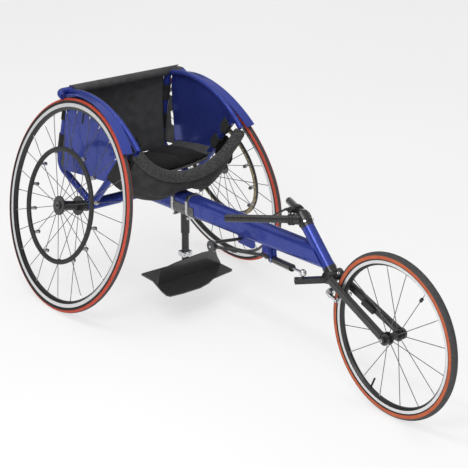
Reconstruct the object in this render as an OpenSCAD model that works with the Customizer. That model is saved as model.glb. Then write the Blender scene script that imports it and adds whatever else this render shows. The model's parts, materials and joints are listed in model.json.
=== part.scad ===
// Racing wheelchair: two leaning rear wheels, one long main tube, one steered front wheel.
// Millimetres. +X forward, +Y to the rider's left, +Z up.
// The origin is on the floor, at the middle of the whole length and width.

/* [Overall] */
// Distance from the rear axle line to the front axle
wheelbase = 1160; // [1100:1:1220]
// Distance between the centres of the two rear wheels
track = 571; // [560:1:600]
// Lean of each rear wheel
camber = 13; // [11:0.5:14]

/* [Rear wheels] */
// Outside radius of the rear tyres
rear_r = 334; // [326:1:340]
// Width of the rear tyres
rear_tyre_w = 22; // [20:1:24]
// Radial depth of the rear rims
rear_rim_d = 20; // [18:1:30]
// Width of the rear rims at the brake track
rear_rim_w = 19; // [16:0.5:21]
// Spokes in each rear wheel, half of them on each flange
rear_spokes = 28; // [20:4:32]
// Diameter of every spoke
spoke_d = 2.2; // [1.8:0.1:3]
// Radius of the rear hub flanges
hub_flange_r = 30; // [26:1:34]
// Radius of the rear hub barrel
hub_barrel_r = 15; // [12:1:18]
// Outer face of the outer hub flange, from the wheel's mid plane
hub_out = 36; // [32:1:40]
// Inner face of the inner hub flange, from the wheel's mid plane
hub_in = 41; // [38:1:44]
// Diameter of the quick release axle pins
axle_d = 12.7; // [10:0.1:14]

/* [Push rims] */
// Radius of the push rim's centre line
push_r = 175; // [165:1:185]
// Thickness of the push rim
push_t = 15; // [13:1:19]
// Distance of the push rim outside the wheel's mid plane
push_out = 32; // [31:1:36]

/* [Front wheel] */
// Outside radius of the front tyre
front_r = 233; // [225:1:238]
// Width of the front tyre
front_tyre_w = 26; // [22:1:28]
// Radial depth of the front rim
front_rim_d = 15; // [13:1:20]
// Width of the front rim at the brake track
front_rim_w = 20; // [17:0.5:22]
// Spokes in the front wheel
front_spokes = 16; // [12:4:20]
// Radius of the front hub flanges
front_flange_r = 18; // [15:1:22]
// Distance between the outer faces of the front hub
front_hub_w = 46; // [44:1:48]

/* [Main frame] */
// Diameter of the axle tube
axle_tube_d = 36; // [32:1:38]
// Height of the main tube's section at the rear
main_h = 71; // [66:1:74]
// Width of the main tube's section at the rear
main_w = 55; // [50:1:58]
// Height of the main tube's section at the head tube
main_front_h = 60; // [54:1:64]
// Width of the main tube's section at the head tube
main_front_w = 46; // [42:1:50]
// Rounding of the main tube's corners
main_round = 19; // [14:1:20]
// Wall of the main tube
main_wall = 2.5; // [2:0.5:4]
// Outside diameter of the head tube
head_d = 37; // [36:1:40]
// Length of the head tube
head_len = 130; // [120:1:136]
// Diameter of the steerer
steerer_d = 28.6; // [25.4:0.1:28.6]
// Diameter of the struts and uprights under the seat
strut_d = 23; // [20:1:24]

/* [Seat frame] */
// Diameter of the bent bar behind the seat
back_bar_d = 21; // [20:1:23]
// Distance of the back bar behind the axle
back_bar_x = 121; // [118:1:124]
// Width of each mudguard
guard_w = 32; // [30:1:36]
// Thickness of the mudguards
guard_t = 3; // [2.5:0.5:4]
// Gap between the tyre and the mudguard
guard_gap = 7; // [6:0.5:9]
// Diameter of the seat rail inside each mudguard
rail_d = 18; // [16:1:20]
// Thickness of the side panels
panel_t = 2.5; // [2:0.5:3]
// Reach of the side panels behind their datum, 115 mm behind the rear axle line
panel_back = 11; // [0:1:11]
// Diameter of the front hoop's tube
hoop_d = 20; // [18:1:22]
// Distance of the front hoop ahead of the axle
hoop_x = 250; // [247:1:254]
// Height of the lowest point of the front hoop
hoop_low_z = 434.5; // [430:0.5:440]

/* [Seat padding] */
// Diameter of the pad round the front hoop
pad_d = 35; // [32:1:38]
// Thickness of the seat cushion at its middle
cushion_t = 34; // [24:1:40]
// Thickness of the slung cloth
cloth_t = 3; // [2.5:0.5:4]
// Height of the sag of the sling between its edges
sling_sag = 25; // [20:1:30]
// Free gap kept between soft pieces and what they touch
soft_gap = 0.3; // [0.3:0.1:0.5]

/* [Footrest] */
// Distance of the footrest post ahead of the axle
post_x = 224; // [218:1:230]
// Diameter of the fixed footrest sleeve
sleeve_d = 28; // [26:1:32]
// Diameter of the sliding footrest post
post_d = 23; // [20:1:24]
// Height of the foot plate's top face
foot_z = 102; // [95:1:110]
// Width of the foot plate
foot_w = 271; // [256:1:290]
// Depth of the foot plate
foot_d = 150; // [140:1:160]
// Height of the foot plate's upright wall
foot_wall = 60; // [50:1:64]

/* [Steering] */
// Distance between the fork legs, centre to centre
leg_gap = 64; // [62:1:68]
// Height of a fork leg's section
leg_h = 26; // [20:1:28]
// Width of a fork leg's section
leg_w = 14; // [12:1:14]
// Diameter of the handlebar tubes
bar_d = 22.2; // [20:0.1:23]
// Reach of the handlebar prongs behind the stem
bar_reach = 206; // [190:1:220]
// Half of the distance between the prong ends
bar_half = 118; // [108:1:126]
// Length of the steering arm
arm_len = 108; // [100:1:114]
// Width of the square steering arm
arm_w = 16; // [14:1:18]
// Outside diameter of the compensator cylinder
comp_d = 22; // [18:1:24]
// Diameter of the compensator's rod
comp_rod_d = 8; // [6:0.5:9]
// Diameter of the track lever's tube
lever_d = 10; // [8:0.5:11]
// Diameter of the track lever's pad
lever_pad_d = 36; // [30:1:38]
// Diameter of the brake cable
cable_d = 5; // [4:0.5:6]

/* [Fits] */
// Radial running clearance of every turning fit
run_gap = 0.05; // [0.03:0.01:0.09]
// Clearance at the end faces of turning pieces
face_gap = 0.5; // [0.4:0.1:0.8]
// Play in the ball joint between the compensator and the steering arm
ball_play = 1.6; // [1.4:0.1:2]

/* [Part to draw] */
// Name of the one sub-part to draw, or all

/* [Hidden] */
$fn = 48;
rx = -(wheelbase + front_r - rear_r) / 2;
tyre_r = rear_tyre_w / 2;
wheel_z = (rear_r - tyre_r) * cos(camber) + tyre_r;
half_track = track / 2;
rim_seat = 4.5;
bead = 0.12;
rear_rim_r = rear_r - rear_tyre_w + rim_seat;
rear_rim_in = rear_rim_r - rear_rim_d;
front_rim_r = front_r - front_tyre_w + rim_seat;
front_rim_in = front_rim_r - front_rim_d;
axle_r = axle_d / 2;
tube_end = half_track - 63.5;
spoke_r = spoke_d / 2;
flange_t = 5;
guard_r = rear_r + guard_gap;
guard_out = 14;
axle_z = wheel_z - 63.5 * tan(camber);
rear_turn = 89.3;
front_turn = -112.7;
rail_y = half_track - 93;
rail_x = -14;
rail_bend = rear_r + 51;
rail_top = wheel_z + (rear_r + 10) * cos(camber);
rail_mid = rail_top - rail_bend;
back_bar_z = rail_top - 8;
head_x = wheelbase - 309.4;
head_z = front_r + 158.3;
head_dir = [0.70711, 0, -0.70711];
cup_h = 9;
crown_r = 17;
crown_half = 20;
crown_at = [head_x + 65.2, 0, head_z - 65.2];
leg_top = [crown_at[0], -crown_half, crown_at[2]];
leg_low = [wheelbase, -leg_gap / 2, front_r];
front_at = [wheelbase, 0, front_r];
strut_low = [0, -(half_track - 90.5), axle_z];
strut_top = [228, -(half_track - 107.5), rail_top - 86];
upright_top = [-back_bar_x - 5, -(half_track - 95.5), back_bar_z - 3];
upright_turn = [-183, -(half_track - 87), axle_z + 81];
upright_low = [0, -(half_track - 88.5), axle_z];
lean = 3.43;
toe = 1.89;
panel_at = [-115, -(half_track - 78), rail_top - 141];
hoop_half = half_track - 89.5;
hoop_rise = 108;
hoop_r = (hoop_half * hoop_half + hoop_rise * hoop_rise) / (2 * hoop_rise);
hoop_turn = asin(hoop_half / hoop_r);
hoop_mid = hoop_low_z + hoop_r;
pad_turn = 55.5;
pad_r = pad_d / 2;
sling_low = axle_z + 82;
sling_slope = 0.177;
back_drop = 262;
sleeve_t = 3;
sling_half = half_track - 98.6 - strut_d / 2 - soft_gap - 0.5;
main_a = [-24, 0, axle_z + 18.4];
main_b = [head_x + 62, 0, head_z - 20.2];
band_x = [post_x - 27, post_x + 46];
saddle_t = 2;
post_z = main_z(post_x);
post_top = post_z - 64;
post_bore = post_z - 40;
caliper_at = [wheelbase - 246.5, 0, front_r + 52.4];
caliper_tilt = 12;
arm_dir = [-0.5145, -0.8575, 0];
arm_at = [crown_at[0], 0, crown_at[2] - 10.2];
ball_r = 5.5;
stud_h = 15;
ball_at = arm_at + arm_dir * (arm_len - 23) + [0, 0, arm_w / 2 + stud_h];
lever_x = head_x - 222.6;
under = main_z(lever_x);
comp_at = [lever_x + 27, 0, under - 68.4];
comp_len = norm(ball_at - comp_at);
comp_dir = (ball_at - comp_at) / comp_len;
ball_move = cross(head_dir, ball_at - [head_x, 0, head_z]);
comp_side = ball_move - (ball_move * comp_dir) * comp_dir;
comp_axis = cross(comp_dir, comp_side) / norm(comp_side);
lever_at = [lever_x, 0, under - 67.4];
lever_end = [lever_x - 148, -90, under - 62.4];
guide_at = [lever_x - 116, 0, under - 49.4];
stem_up = head_len / 2 + cup_h + face_gap + bar_d / 2 + 5;
stem_at = [head_x - stem_up * sin(45), 0, head_z + stem_up * sin(45)];
steerer_top = stem_up + 16;
bar_start = [stem_at[0], 10, stem_at[2]];
bar_end = [stem_at[0] - bar_reach + 3, bar_half, stem_at[2] - 32.5];
bar_dir = (bar_end - bar_start) / norm(bar_end - bar_start);
perch_at = bar_start + bar_dir * 103;
pivot_at = perch_at + [-11.4, -21.1, 0];
lever_tip = pivot_at + [-82, -8, -44];
cable_a = pivot_at + [20, 2, -6];
cable_b = [head_x - 104, 42, head_z + 32.7];
cable_dir = (cable_b - cable_a) / norm(cable_b - cable_a);

// Height of the main tube's middle at a place along it
function main_z(x) = main_a[2] + (main_b[2] - main_a[2]) * (x - main_a[0]) / (main_b[0] - main_a[0]);

// Half of the main tube's height at a place along it
function main_half(x) = main_h / 2
    - (main_h - main_front_h) / 2 * (x - main_a[0]) / (main_b[0] - main_a[0]);

// Turns and moves a child so that its +Z axis runs from point p in direction d
module aim(p, d) {
    translate(p) rotate([0, acos(d[2] / norm(d)), atan2(d[1], d[0])]) children();
}

// Round bar between two points
module rod(p, q, r) {
    aim(p, q - p) cylinder(h = norm(q - p), r = r);
}

// Flat bar between two points, w wide and t thick
module flat(p, q, w, t) {
    aim(p, q - p) translate([-w / 2, -t / 2, 0]) cube([w, t, norm(q - p)]);
}

// Quarter ring that rounds the corner at q on the way from p to s
module elbow(p, q, s, bend, r) {
    a = (q - p) / norm(q - p);
    b = (s - q) / norm(s - q);
    turn = acos(a * b);
    c = q + (b - a) / norm(b - a) * bend / cos(turn / 2);
    x = (q - a * bend * tan(turn / 2) - c) / bend;
    z = cross(x, a);
    multmatrix([for (i = [0 : 2]) [x[i], a[i], z[i], c[i]]])
        rotate_extrude(angle = turn) translate([bend, 0]) circle(r = r + bead);
}

// Length taken by the bend at the corner q
function bend_len(p, q, s, bend) =
    let (a = (q - p) / norm(q - p), b = (s - q) / norm(s - q)) bend * tan(acos(a * b) / 2);

// Round bar along a list of points, with every corner bent to the same radius
module bent(pts, bend, r) {
    n = len(pts) - 1;
    for (i = [1 : n - 1]) elbow(pts[i - 1], pts[i], pts[i + 1], bend, r);
    for (i = [0 : n - 1]) {
        d = (pts[i + 1] - pts[i]) / norm(pts[i + 1] - pts[i]);
        a = i == 0 ? 0 : bend_len(pts[i - 1], pts[i], pts[i + 1], bend);
        b = i == n - 1 ? 0 : bend_len(pts[i], pts[i + 1], pts[i + 2], bend);
        lap = 0.5 * sqrt(2 * bead * bend);
        rod(pts[i] + d * (i == 0 ? 0 : a - lap), pts[i + 1] - d * (i == n - 1 ? 0 : b - lap), r);
    }
}

// Outline of a rectangle with round corners
function round_box(w, h, c, n = 8) = [
    for (k = [0 : 3]) for (j = [0 : n])
        let (a = 90 * k + 90 * j / n, sx = k == 0 || k == 3 ? 1 : -1, sy = k < 2 ? 1 : -1)
            [sx * (w / 2 - c) + c * cos(a), sy * (h / 2 - c) + c * sin(a)]
];

// Closed sheet of even thickness through a grid of points, rows of equal length
module sheet(g, t) {
    n = len(g);
    m = len(g[0]);
    nrm = [for (i = [0 : n - 1]) [for (j = [0 : m - 1])
        let (a = g[min(i + 1, n - 1)][j] - g[max(i - 1, 0)][j],
            b = g[i][min(j + 1, m - 1)] - g[i][max(j - 1, 0)],
            c = cross(a, b)) c / norm(c)]];
    shell([for (i = [0 : n - 1]) [for (j = [0 : m - 1]) g[i][j] + nrm[i][j] * t / 2]],
        [for (i = [0 : n - 1]) [for (j = [0 : m - 1]) g[i][j] - nrm[i][j] * t / 2]]);
}

// Closed solid between an upper and a lower grid of points
module shell(up, low) {
    n = len(up);
    m = len(up[0]);
    k = n * m;
    pts = concat([for (r = up) for (p = r) p], [for (r = low) for (p = r) p]);
    tops = [for (i = [0 : n - 2]) for (j = [0 : m - 2]) each
        [[i * m + j, (i + 1) * m + j + 1, (i + 1) * m + j], [i * m + j, i * m + j + 1, (i + 1) * m + j + 1]]];
    lows = [for (f = tops) [f[0] + k, f[2] + k, f[1] + k]];
    rows = [for (j = [0 : m - 2]) each
        [[j, j + k, j + 1 + k], [j, j + 1 + k, j + 1],
        [(n - 1) * m + j, (n - 1) * m + j + 1 + k, (n - 1) * m + j + k],
        [(n - 1) * m + j, (n - 1) * m + j + 1, (n - 1) * m + j + 1 + k]]];
    cols = [for (i = [0 : n - 2]) each
        [[i * m, (i + 1) * m + k, i * m + k], [i * m, (i + 1) * m, (i + 1) * m + k],
        [i * m + m - 1, i * m + m - 1 + k, (i + 1) * m + m - 1 + k],
        [i * m + m - 1, (i + 1) * m + m - 1 + k, (i + 1) * m + m - 1]]];
    polyhedron(points = pts, faces = concat(tops, lows, rows, cols));
}

// Places a child drawn from the rear axle line
module chair() {
    translate([rx, 0, 0]) children();
}

// Draws a child and its mirror image on the other side
module both() {
    children();
    mirror([0, 1, 0]) children();
}

// Frame of the right rear wheel: X forward, Y up in the wheel, Z outward along its axle
module wheel() {
    translate([0, -half_track, wheel_z]) rotate([90 - camber, 0, 0]) children();
}

// Frame of the steering head: Z along the steerer, downward
module head() {
    translate([head_x, 0, head_z]) rotate([0, 135, 0]) children();
}

// Frame of the brake caliper: Z along its bolt, X towards the front axle
module caliper() {
    translate(caliper_at) rotate([0, caliper_tilt, 0]) children();
}

// Frame of the right side panel: X forward, Y up, Z outward
module panel() {
    translate(panel_at) rotate([0, 0, toe]) rotate([-lean, 0, 0]) rotate([90, 0, 0]) children();
}

// Frame of the front hoop: circle centre, X to the left, Y up
module hoop() {
    translate([hoop_x, 0, hoop_mid]) rotate([90, 0, 90]) children();
}

// Main tube's outer form, made smaller all round by a wall
module main_form(wall, start, over) {
    d = (main_b - main_a) / norm(main_b - main_a);
    hull() {
        aim(main_a + d * start, d) linear_extrude(0.1)
            polygon(round_box(main_h - 2 * wall, main_w - 2 * wall, main_round - wall));
        aim(main_b + d * over, d) linear_extrude(0.1)
            polygon(round_box(main_front_h - 2 * wall, main_front_w - 2 * wall, main_round - wall));
    }
}

module axle_bar() {
    translate([0, tube_end, axle_z]) rotate([90, 0, 0]) cylinder(h = 2 * tube_end, d = axle_tube_d);
}

module main_tube() color([0.10, 0.14, 0.62]) chair() difference() {
    main_form(0, 0, 0);
    main_form(main_wall, 3, 3);
    axle_bar();
    head() cylinder(h = 300, d = head_d, center = true);
    head() translate([-200, -60, -150]) cube([200, 120, 400]);
    head() translate([-20, -60, head_len / 2 - 1]) cube([120, 120, 100]);
}

module head_tube() color([0.10, 0.14, 0.62]) chair() head() difference() {
    cylinder(h = head_len, d = head_d, center = true);
    cylinder(h = head_len + 1, d = head_d - 5, center = true);
}

module axle_tube() color([0.10, 0.14, 0.62]) chair() difference() {
    axle_bar();
    translate([0, tube_end + 1, axle_z]) rotate([90, 0, 0])
        cylinder(h = 2 * tube_end + 2, d = axle_tube_d - 5);
}

module guard_right() {
    wheel() rotate([0, 0, 42]) rotate_extrude(angle = 70) polygon([[guard_r, guard_out],
        [guard_r + guard_t, guard_out], [guard_r + guard_t + 6, guard_out - guard_w],
        [guard_r + 6, guard_out - guard_w]]);
    translate([rail_x, -rail_y, rail_mid]) rotate([90, 0, 0]) rotate([0, 0, 45.4])
        rotate_extrude(angle = 60.4) translate([rail_bend, 0]) circle(d = rail_d);
}

module mudguard_right() color([0.10, 0.14, 0.62]) chair() guard_right();

module mudguard_left() color([0.10, 0.14, 0.62]) chair() mirror([0, 1, 0]) guard_right();

module back_bar() color([0.10, 0.14, 0.62]) chair() difference() {
    bent([[-back_bar_x + 26, 53.5 - half_track, back_bar_z - 8],
        [-back_bar_x, 53.5 - half_track, back_bar_z],
        [-back_bar_x, half_track - 53.5, back_bar_z],
        [-back_bar_x + 26, half_track - 53.5, back_bar_z - 8]], 20, back_bar_d / 2);
    both() guard_right();
}

module rear_uprights() color([0.10, 0.14, 0.62]) chair() both() difference() {
    bent([upright_top, upright_turn, upright_low], 42, strut_d / 2);
    translate([-back_bar_x, 0, back_bar_z]) rotate([90, 0, 0])
        cylinder(h = 2 * half_track, d = back_bar_d, center = true);
    axle_bar();
    guard_right();
}

module front_struts() color([0.10, 0.14, 0.62]) chair() both() difference() {
    rod(strut_low, strut_top, strut_d / 2);
    translate(strut_top - [60, 5, 13]) cube([120, 60, 60]);
    axle_bar();
    guard_right();
}

module front_hoop() color([0.10, 0.14, 0.62]) chair() difference() {
    hoop() rotate([0, 0, 270 - hoop_turn]) rotate_extrude(angle = 2 * hoop_turn)
        translate([hoop_r, 0]) circle(d = hoop_d);
    both() guard_right();
}

module panel_right() {
    difference() {
        intersection() {
            panel() linear_extrude(panel_t) polygon([[-4, 160], [-4, 118], [-panel_back, 70],
                [-panel_back, -85], [-panel_back - 5, -127], [124.5, -113], [207.7, -105.4],
                [233, -70], [275, -20], [345, 45], [345, 160]]);
            translate([rail_x, 0, rail_mid]) rotate([90, 0, 0])
                cylinder(h = 2 * half_track, r = rail_bend);
        }
        translate([-back_bar_x, 0, back_bar_z]) rotate([90, 0, 0])
            cylinder(h = 2 * half_track, d = back_bar_d + 2 * soft_gap, center = true);
        guard_right();
    }
}

module side_panel_right() color([0.11, 0.15, 0.60]) chair() panel_right();

module side_panel_left() color([0.11, 0.15, 0.60]) chair() mirror([0, 1, 0]) panel_right();

module frame_lugs() color([0.10, 0.14, 0.62]) chair() difference() {
    union() {
        translate([guide_at[0] - 14, -6, under - 64.4]) cube([66, 12, 60]);
        translate([lever_x - 16, -7, under - 57.4]) cube([50, 14, 60]);
        for (side = [-1, 1]) aim(comp_at, comp_axis) translate([0, 0, side * 7.5]) {
            cylinder(h = 4, d = 18, center = true);
            translate([-60, -9, -2]) cube([60, 18, 4]);
        }
    }
    aim(comp_at, comp_axis) cylinder(h = 60, d = 6, center = true);
    main_form(0, 0, 0);
}

module camber_plugs() color([0.07, 0.07, 0.08]) chair() both() difference() {
    union() {
        difference() {
            wheel() translate([0, 0, -100])
                cylinder(h = 100 - hub_in - face_gap, r = axle_tube_d / 2 - 1);
            translate([-50, -tube_end, 200]) cube([100, 200, 200]);
        }
        translate([0, -tube_end + 40, axle_z]) rotate([90, 0, 0]) cylinder(h = 40, d = axle_tube_d - 5);
    }
    wheel() cylinder(h = 300, r = axle_r, center = true);
}

module headset_cups() color([0.06, 0.06, 0.07]) chair() head() {
    for (side = [-1, 1]) translate([0, 0, side * (head_len + cup_h) / 2]) difference() {
        cylinder(h = cup_h, d = head_d + 2, center = true);
        cylinder(h = cup_h + 1, d = steerer_d + 2 * run_gap, center = true);
    }
}

module wheel_axles() color([0.75, 0.76, 0.78]) chair() both() wheel() difference() {
    union() {
        translate([0, 0, -82]) cylinder(h = 82 + hub_out + face_gap, r = axle_r);
        translate([0, 0, hub_out + face_gap]) cylinder(h = 3.5, r = 11);
    }
    translate([0, 0, hub_out - 12]) cylinder(h = 40, r = 5 + run_gap - 0.5);
}

module button() {
    wheel() translate([0, 0, hub_out - 9]) cylinder(h = 16, r = 4.5);
}

module button_right() color([0.10, 0.10, 0.11]) chair() button();

module button_left() color([0.10, 0.10, 0.11]) chair() mirror([0, 1, 0]) button();

module footrest_clamp() color([0.30, 0.30, 0.30]) chair() difference() {
    intersection() {
        main_form(-saddle_t, 0, 0);
        union() {
            translate([post_x - 40, -60, post_z - 90]) cube([118, 120, 96]);
            for (x = band_x) translate([x - 8, -60, post_z - 90]) cube([16, 120, 200]);
        }
    }
    main_form(0, 0, 0);
}

module clamp_bands() color([0.72, 0.72, 0.72]) chair() for (x = band_x) {
    difference() {
        intersection() {
            main_form(-saddle_t - 2.2, 0, 0);
            translate([x - 5, -60, post_z - 90]) cube([10, 120, 200]);
        }
        main_form(-saddle_t, 0, 0);
    }
    translate([x - 4, 0, main_z(x) - main_half(x) - saddle_t - 4.9]) rotate([90, 0, 0])
        cylinder(h = 44, d = 9, center = true);
}

module footrest_sleeve() color([0.06, 0.06, 0.06]) chair() difference() {
    translate([post_x, 0, post_z - 102]) cylinder(h = 90, d = sleeve_d);
    translate([post_x, 0, post_z - 103]) cylinder(h = post_bore - post_z + 103, d = post_d + 2 * run_gap);
    main_form(-saddle_t, 0, 0);
}

module footrest_post() color([0.06, 0.06, 0.06]) chair()
    translate([post_x, 0, foot_z]) cylinder(h = post_top - foot_z, d = post_d);

module footplate() color([0.05, 0.05, 0.05]) chair() translate([post_x, 0, foot_z]) {
    translate([0, 0, -4]) linear_extrude(4) polygon([[-foot_d / 2 - 4, 25 - foot_w / 2],
        [-foot_d / 2, 18 - foot_w / 2], [-14, 17 - foot_w / 2], [foot_d / 2 - 5, -foot_w / 2 - 8],
        [foot_d / 2 + 29, -foot_w / 2 - 14], [foot_d / 2 + 42, -foot_w / 2 - 8],
        [foot_d / 2 + 47, -foot_w / 4 - 30], [foot_d / 2 + 45, -30], [foot_d / 2 + 32, 12],
        [foot_d / 2 + 13, 45], [foot_d / 2 + 4, foot_w / 4 + 22], [foot_d / 2 - 2, foot_w / 2 - 8],
        [foot_d / 2 - 9, foot_w / 2], [-foot_d / 2, foot_w / 2], [-foot_d / 2 - 4, foot_w / 2 - 7]]);
    translate([post_d / 2 + 4, 0, -1]) rotate([0, 0, 4.7]) rotate([90, 0, 90]) translate([0, 0, -1.5])
        linear_extrude(3) polygon([[8 - foot_w / 2, 0], [foot_w / 2, 0], [foot_w / 2 - 1, 6],
            [foot_w / 2 - 14, foot_wall - 31], [foot_w / 2 - 20, foot_wall - 12],
            [foot_w / 2 - 42, foot_wall - 4], [foot_w / 4 - 8, foot_wall - 1], [0, foot_wall - 2],
            [8 - foot_w / 4, foot_wall - 5], [42 - foot_w / 2, foot_wall - 9],
            [24 - foot_w / 2, foot_wall - 16], [14 - foot_w / 2, foot_wall - 36], [9 - foot_w / 2, 6]]);
}

module foot_bolts() color([0.70, 0.70, 0.72]) chair() difference() {
    union() {
        translate([post_x - 15, -17, foot_z + 60]) cube([29, 34, 15]);
        for (y = [-9, 9]) translate([post_x + 14, y, foot_z + 67.5]) rotate([0, 90, 0])
            cylinder(h = 4, d = 10);
    }
    translate([post_x, 0, foot_z]) cylinder(h = 200, d = post_d);
}

// Height of the slung seat cloth at a place
function sling_z(x, y) = sling_low + sling_sag * pow(abs(y) / sling_half, 2.2) + sling_slope * x;

module seat_sling() color([0.06, 0.06, 0.06]) chair() sheet([for (i = [0 : 14]) [for (j = [0 : 20])
    let (x = -112 + i * 270 / 14, y = sling_half * (j / 10 - 1)) [x, y, sling_z(x, y)]]], cloth_t);

// Thickness of the cushion at a place, with two sewn channels along it
function cushion_h(u, v) = cushion_t * pow(1 - pow(abs(u), 5), 0.6) * pow(1 - pow(abs(v), 5), 0.6)
    * (1 - 0.16 * exp(-pow((abs(u) - 0.36) / 0.07, 2)));

module seat_cushion() color([0.05, 0.05, 0.05]) chair() {
    w = sling_half - 12;
    place = [for (i = [0 : 14]) [for (j = [0 : 24])
        let (v = i / 7 - 1, u = sin(90 * (j / 12 - 1))) [22 + 126 * sin(90 * v), w * u, u, sin(90 * v)]]];
    shell([for (r = place) [for (p = r) [p[0], p[1],
        sling_z(p[0], p[1]) + cloth_t / 2 + soft_gap + 2 + cushion_h(p[2], p[3])]]],
        [for (r = place) [for (p = r) [p[0], p[1], sling_z(p[0], p[1]) + cloth_t / 2 + soft_gap]]]);
}

module front_pad() color([0.06, 0.06, 0.06]) chair() hoop() rotate([0, 0, 270 - pad_turn]) difference() {
    rotate_extrude(angle = 2 * pad_turn) translate([hoop_r, 0]) circle(r = pad_r);
    rotate([0, 0, -2]) rotate_extrude(angle = 2 * pad_turn + 4) translate([hoop_r, 0])
        circle(r = hoop_d / 2 + soft_gap);
}

// Points of the hanging front cloth: u across from -1 to 1, v from the pad down and back
function apron_low(u) = 1 - exp(-pow(abs(u) / 0.32, 3));
function apron_p(u, v) =
    let (f = u * (pad_turn - 2), e = hoop_r + pad_r + soft_gap + cloth_t / 2,
        a = [hoop_x, e * sin(f), hoop_mid - e * cos(f)],
        b = [hoop_x + 8 - 62 * pow(u, 4), 196 * u, a[2] - 40 - 8 * apron_low(u) - 12 * abs(u)],
        c = [hoop_x - 26 - 86 * u * u, 192 * u, axle_z + 72 - 59 * apron_low(u) + 66 * pow(u, 6)],
        d = [112, 160 * u, axle_z + 70 - 18 * apron_low(u) + 30 * pow(u, 6)],
        k = 1 - v)
    a * k * k * k + b * 3 * k * k * v + c * 3 * k * v * v + d * v * v * v;

module front_apron() color([0.06, 0.06, 0.06]) chair()
    sheet([for (i = [0 : 14]) [for (j = [0 : 24]) apron_p(j / 12 - 1, i / 14)]], cloth_t);

module strut_sleeves() color([0.05, 0.05, 0.05]) chair() both() {
    d = (strut_top - strut_low) / norm(strut_top - strut_low);
    difference() {
        union() {
            rod(strut_low + d * 204, strut_low + d * 256, strut_d / 2 + sleeve_t);
            rod(strut_low + d * 287, strut_low + d * 326, strut_d / 2 + sleeve_t);
            panel() translate([0, 0, -1]) linear_extrude(4) polygon([[221, -87], [220, -92],
                [239, -99], [293, -113], [315, -90], [318, -42], [292, -14], [267, -23]]);
            panel() translate([262, -38, -8]) cylinder(h = 8, r = 8);
        }
        rod(strut_low + d * 100, strut_low + d * 372, strut_d / 2 + soft_gap);
        panel() translate([0, 0, -soft_gap]) linear_extrude(panel_t + 2 * soft_gap)
            polygon([[150, -105.4], [208.1, -105.8], [233.4, -70.2], [275.4, -20.2], [345.4, 44.8], [150, 60]]);
    }
}

// Half of the back cloth's width: wider where it is sewn over the top of the bar
function back_half(t) = half_track - 109 + 44 * max(0, sin(min(180, max(0, (t - 40) * 1.5))));

// Points of the back cloth: u across, v over the bar and down behind the rider
function back_p(u, v) =
    let (e = back_bar_d / 2 + soft_gap + cloth_t / 2 + 0.6,
        t = min(v / 0.3, 1) * 250 - 70,
        w = max(v - 0.3, 0) / 0.7,
        y = u * back_half(t))
    v <= 0.3 ? [-back_bar_x + e * cos(t), y, back_bar_z + e * sin(t)]
        : [-back_bar_x - e - (8 + 22 * (1 - u * u)) * sin(180 * pow(w, 0.8)), y, back_bar_z - back_drop * w];

module back_cloth() color([0.06, 0.06, 0.06]) chair()
    sheet([for (i = [0 : 30]) [for (j = [0 : 16]) back_p(j / 8 - 1, i / 30)]], cloth_t);

// Point on the right upright at a height above the floor
function upright_p(z) = upright_top
    + (upright_turn - upright_top) * (upright_top[2] - z) / (upright_top[2] - upright_turn[2]);

// Point beside the rear edge of the right side panel at a height above the floor
function panel_p(z) = [panel_at[0] - panel_back - soft_gap - 2.2,
    panel_at[1] + (z - panel_at[2]) * tan(lean) - panel_t / 2, z];

module back_laces() color([0.05, 0.05, 0.05]) chair() both() {
    d = (upright_turn - upright_top) / norm(upright_turn - upright_top);
    difference() {
        union() {
            for (k = [[back_bar_z - 74, 28], [back_bar_z - 177, 25]]) {
                c = upright_p(k[0]);
                e = back_p(-1, 0.3 + 0.7 * (back_bar_z - k[0]) / back_drop);
                rod(c - d * k[1], c + d * k[1], strut_d / 2 + sleeve_t);
                flat(e, c, 2 * k[1] - 8, 4);
                flat(c + d * 18, panel_p(k[0] - 18), 38, 4);
            }
        }
        rod(upright_top, upright_turn, strut_d / 2 + soft_gap);
        translate([-400, 109 - half_track - soft_gap - 0.4, 0]) cube([400, half_track, 900]);
    }
}

module guide_bar() color([0.06, 0.06, 0.06]) chair() difference() {
    rod(guide_at, guide_at + [-26, -82, 0], 5);
    translate([guide_at[0] - 14, -6, under - 64.4]) cube([66, 12, 60]);
}

module pivot_pins() color([0.20, 0.20, 0.21]) chair() {
    translate([lever_at[0], 0, lever_at[2] - 11]) cylinder(h = 21, d = 6);
    translate([lever_at[0], 0, lever_at[2] - 10]) cylinder(h = 4, d = 12);
    aim(comp_at, comp_axis) translate([0, 0, -13]) cylinder(h = 24, d = 6);
    aim(comp_at, comp_axis) translate([0, 0, -13]) cylinder(h = 3.5, d = 12);
}

module track_lever() color([0.06, 0.06, 0.06]) chair() difference() {
    union() {
        translate(lever_at - [0, 0, 5]) cylinder(h = 10, d = 18);
        rod(lever_at, lever_end, lever_d / 2);
        translate(lever_end + [0, 4, 0]) rotate([90, 0, 0]) cylinder(h = 9, d = lever_pad_d);
        aim(lever_at + (lever_end - lever_at) * 0.55, lever_end - lever_at)
            cylinder(h = 14, d = lever_d + 6);
    }
    translate(lever_at - [0, 0, 30]) cylinder(h = 60, d = 6 + 2 * run_gap);
}

module compensator_body() color([0.05, 0.05, 0.05]) chair() difference() {
    union() {
        aim(comp_at, comp_axis) cylinder(h = 10, d = 18, center = true);
        rod(comp_at + comp_dir * 2, comp_at + comp_dir * 20, 4.6);
        rod(comp_at + comp_dir * 16, comp_at + comp_dir * 152, comp_d / 2);
    }
    aim(comp_at, comp_axis) cylinder(h = 60, d = 6 + 2 * run_gap, center = true);
    rod(comp_at + comp_dir * 60, comp_at + comp_dir * 153, comp_rod_d / 2 + run_gap);
}

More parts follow.
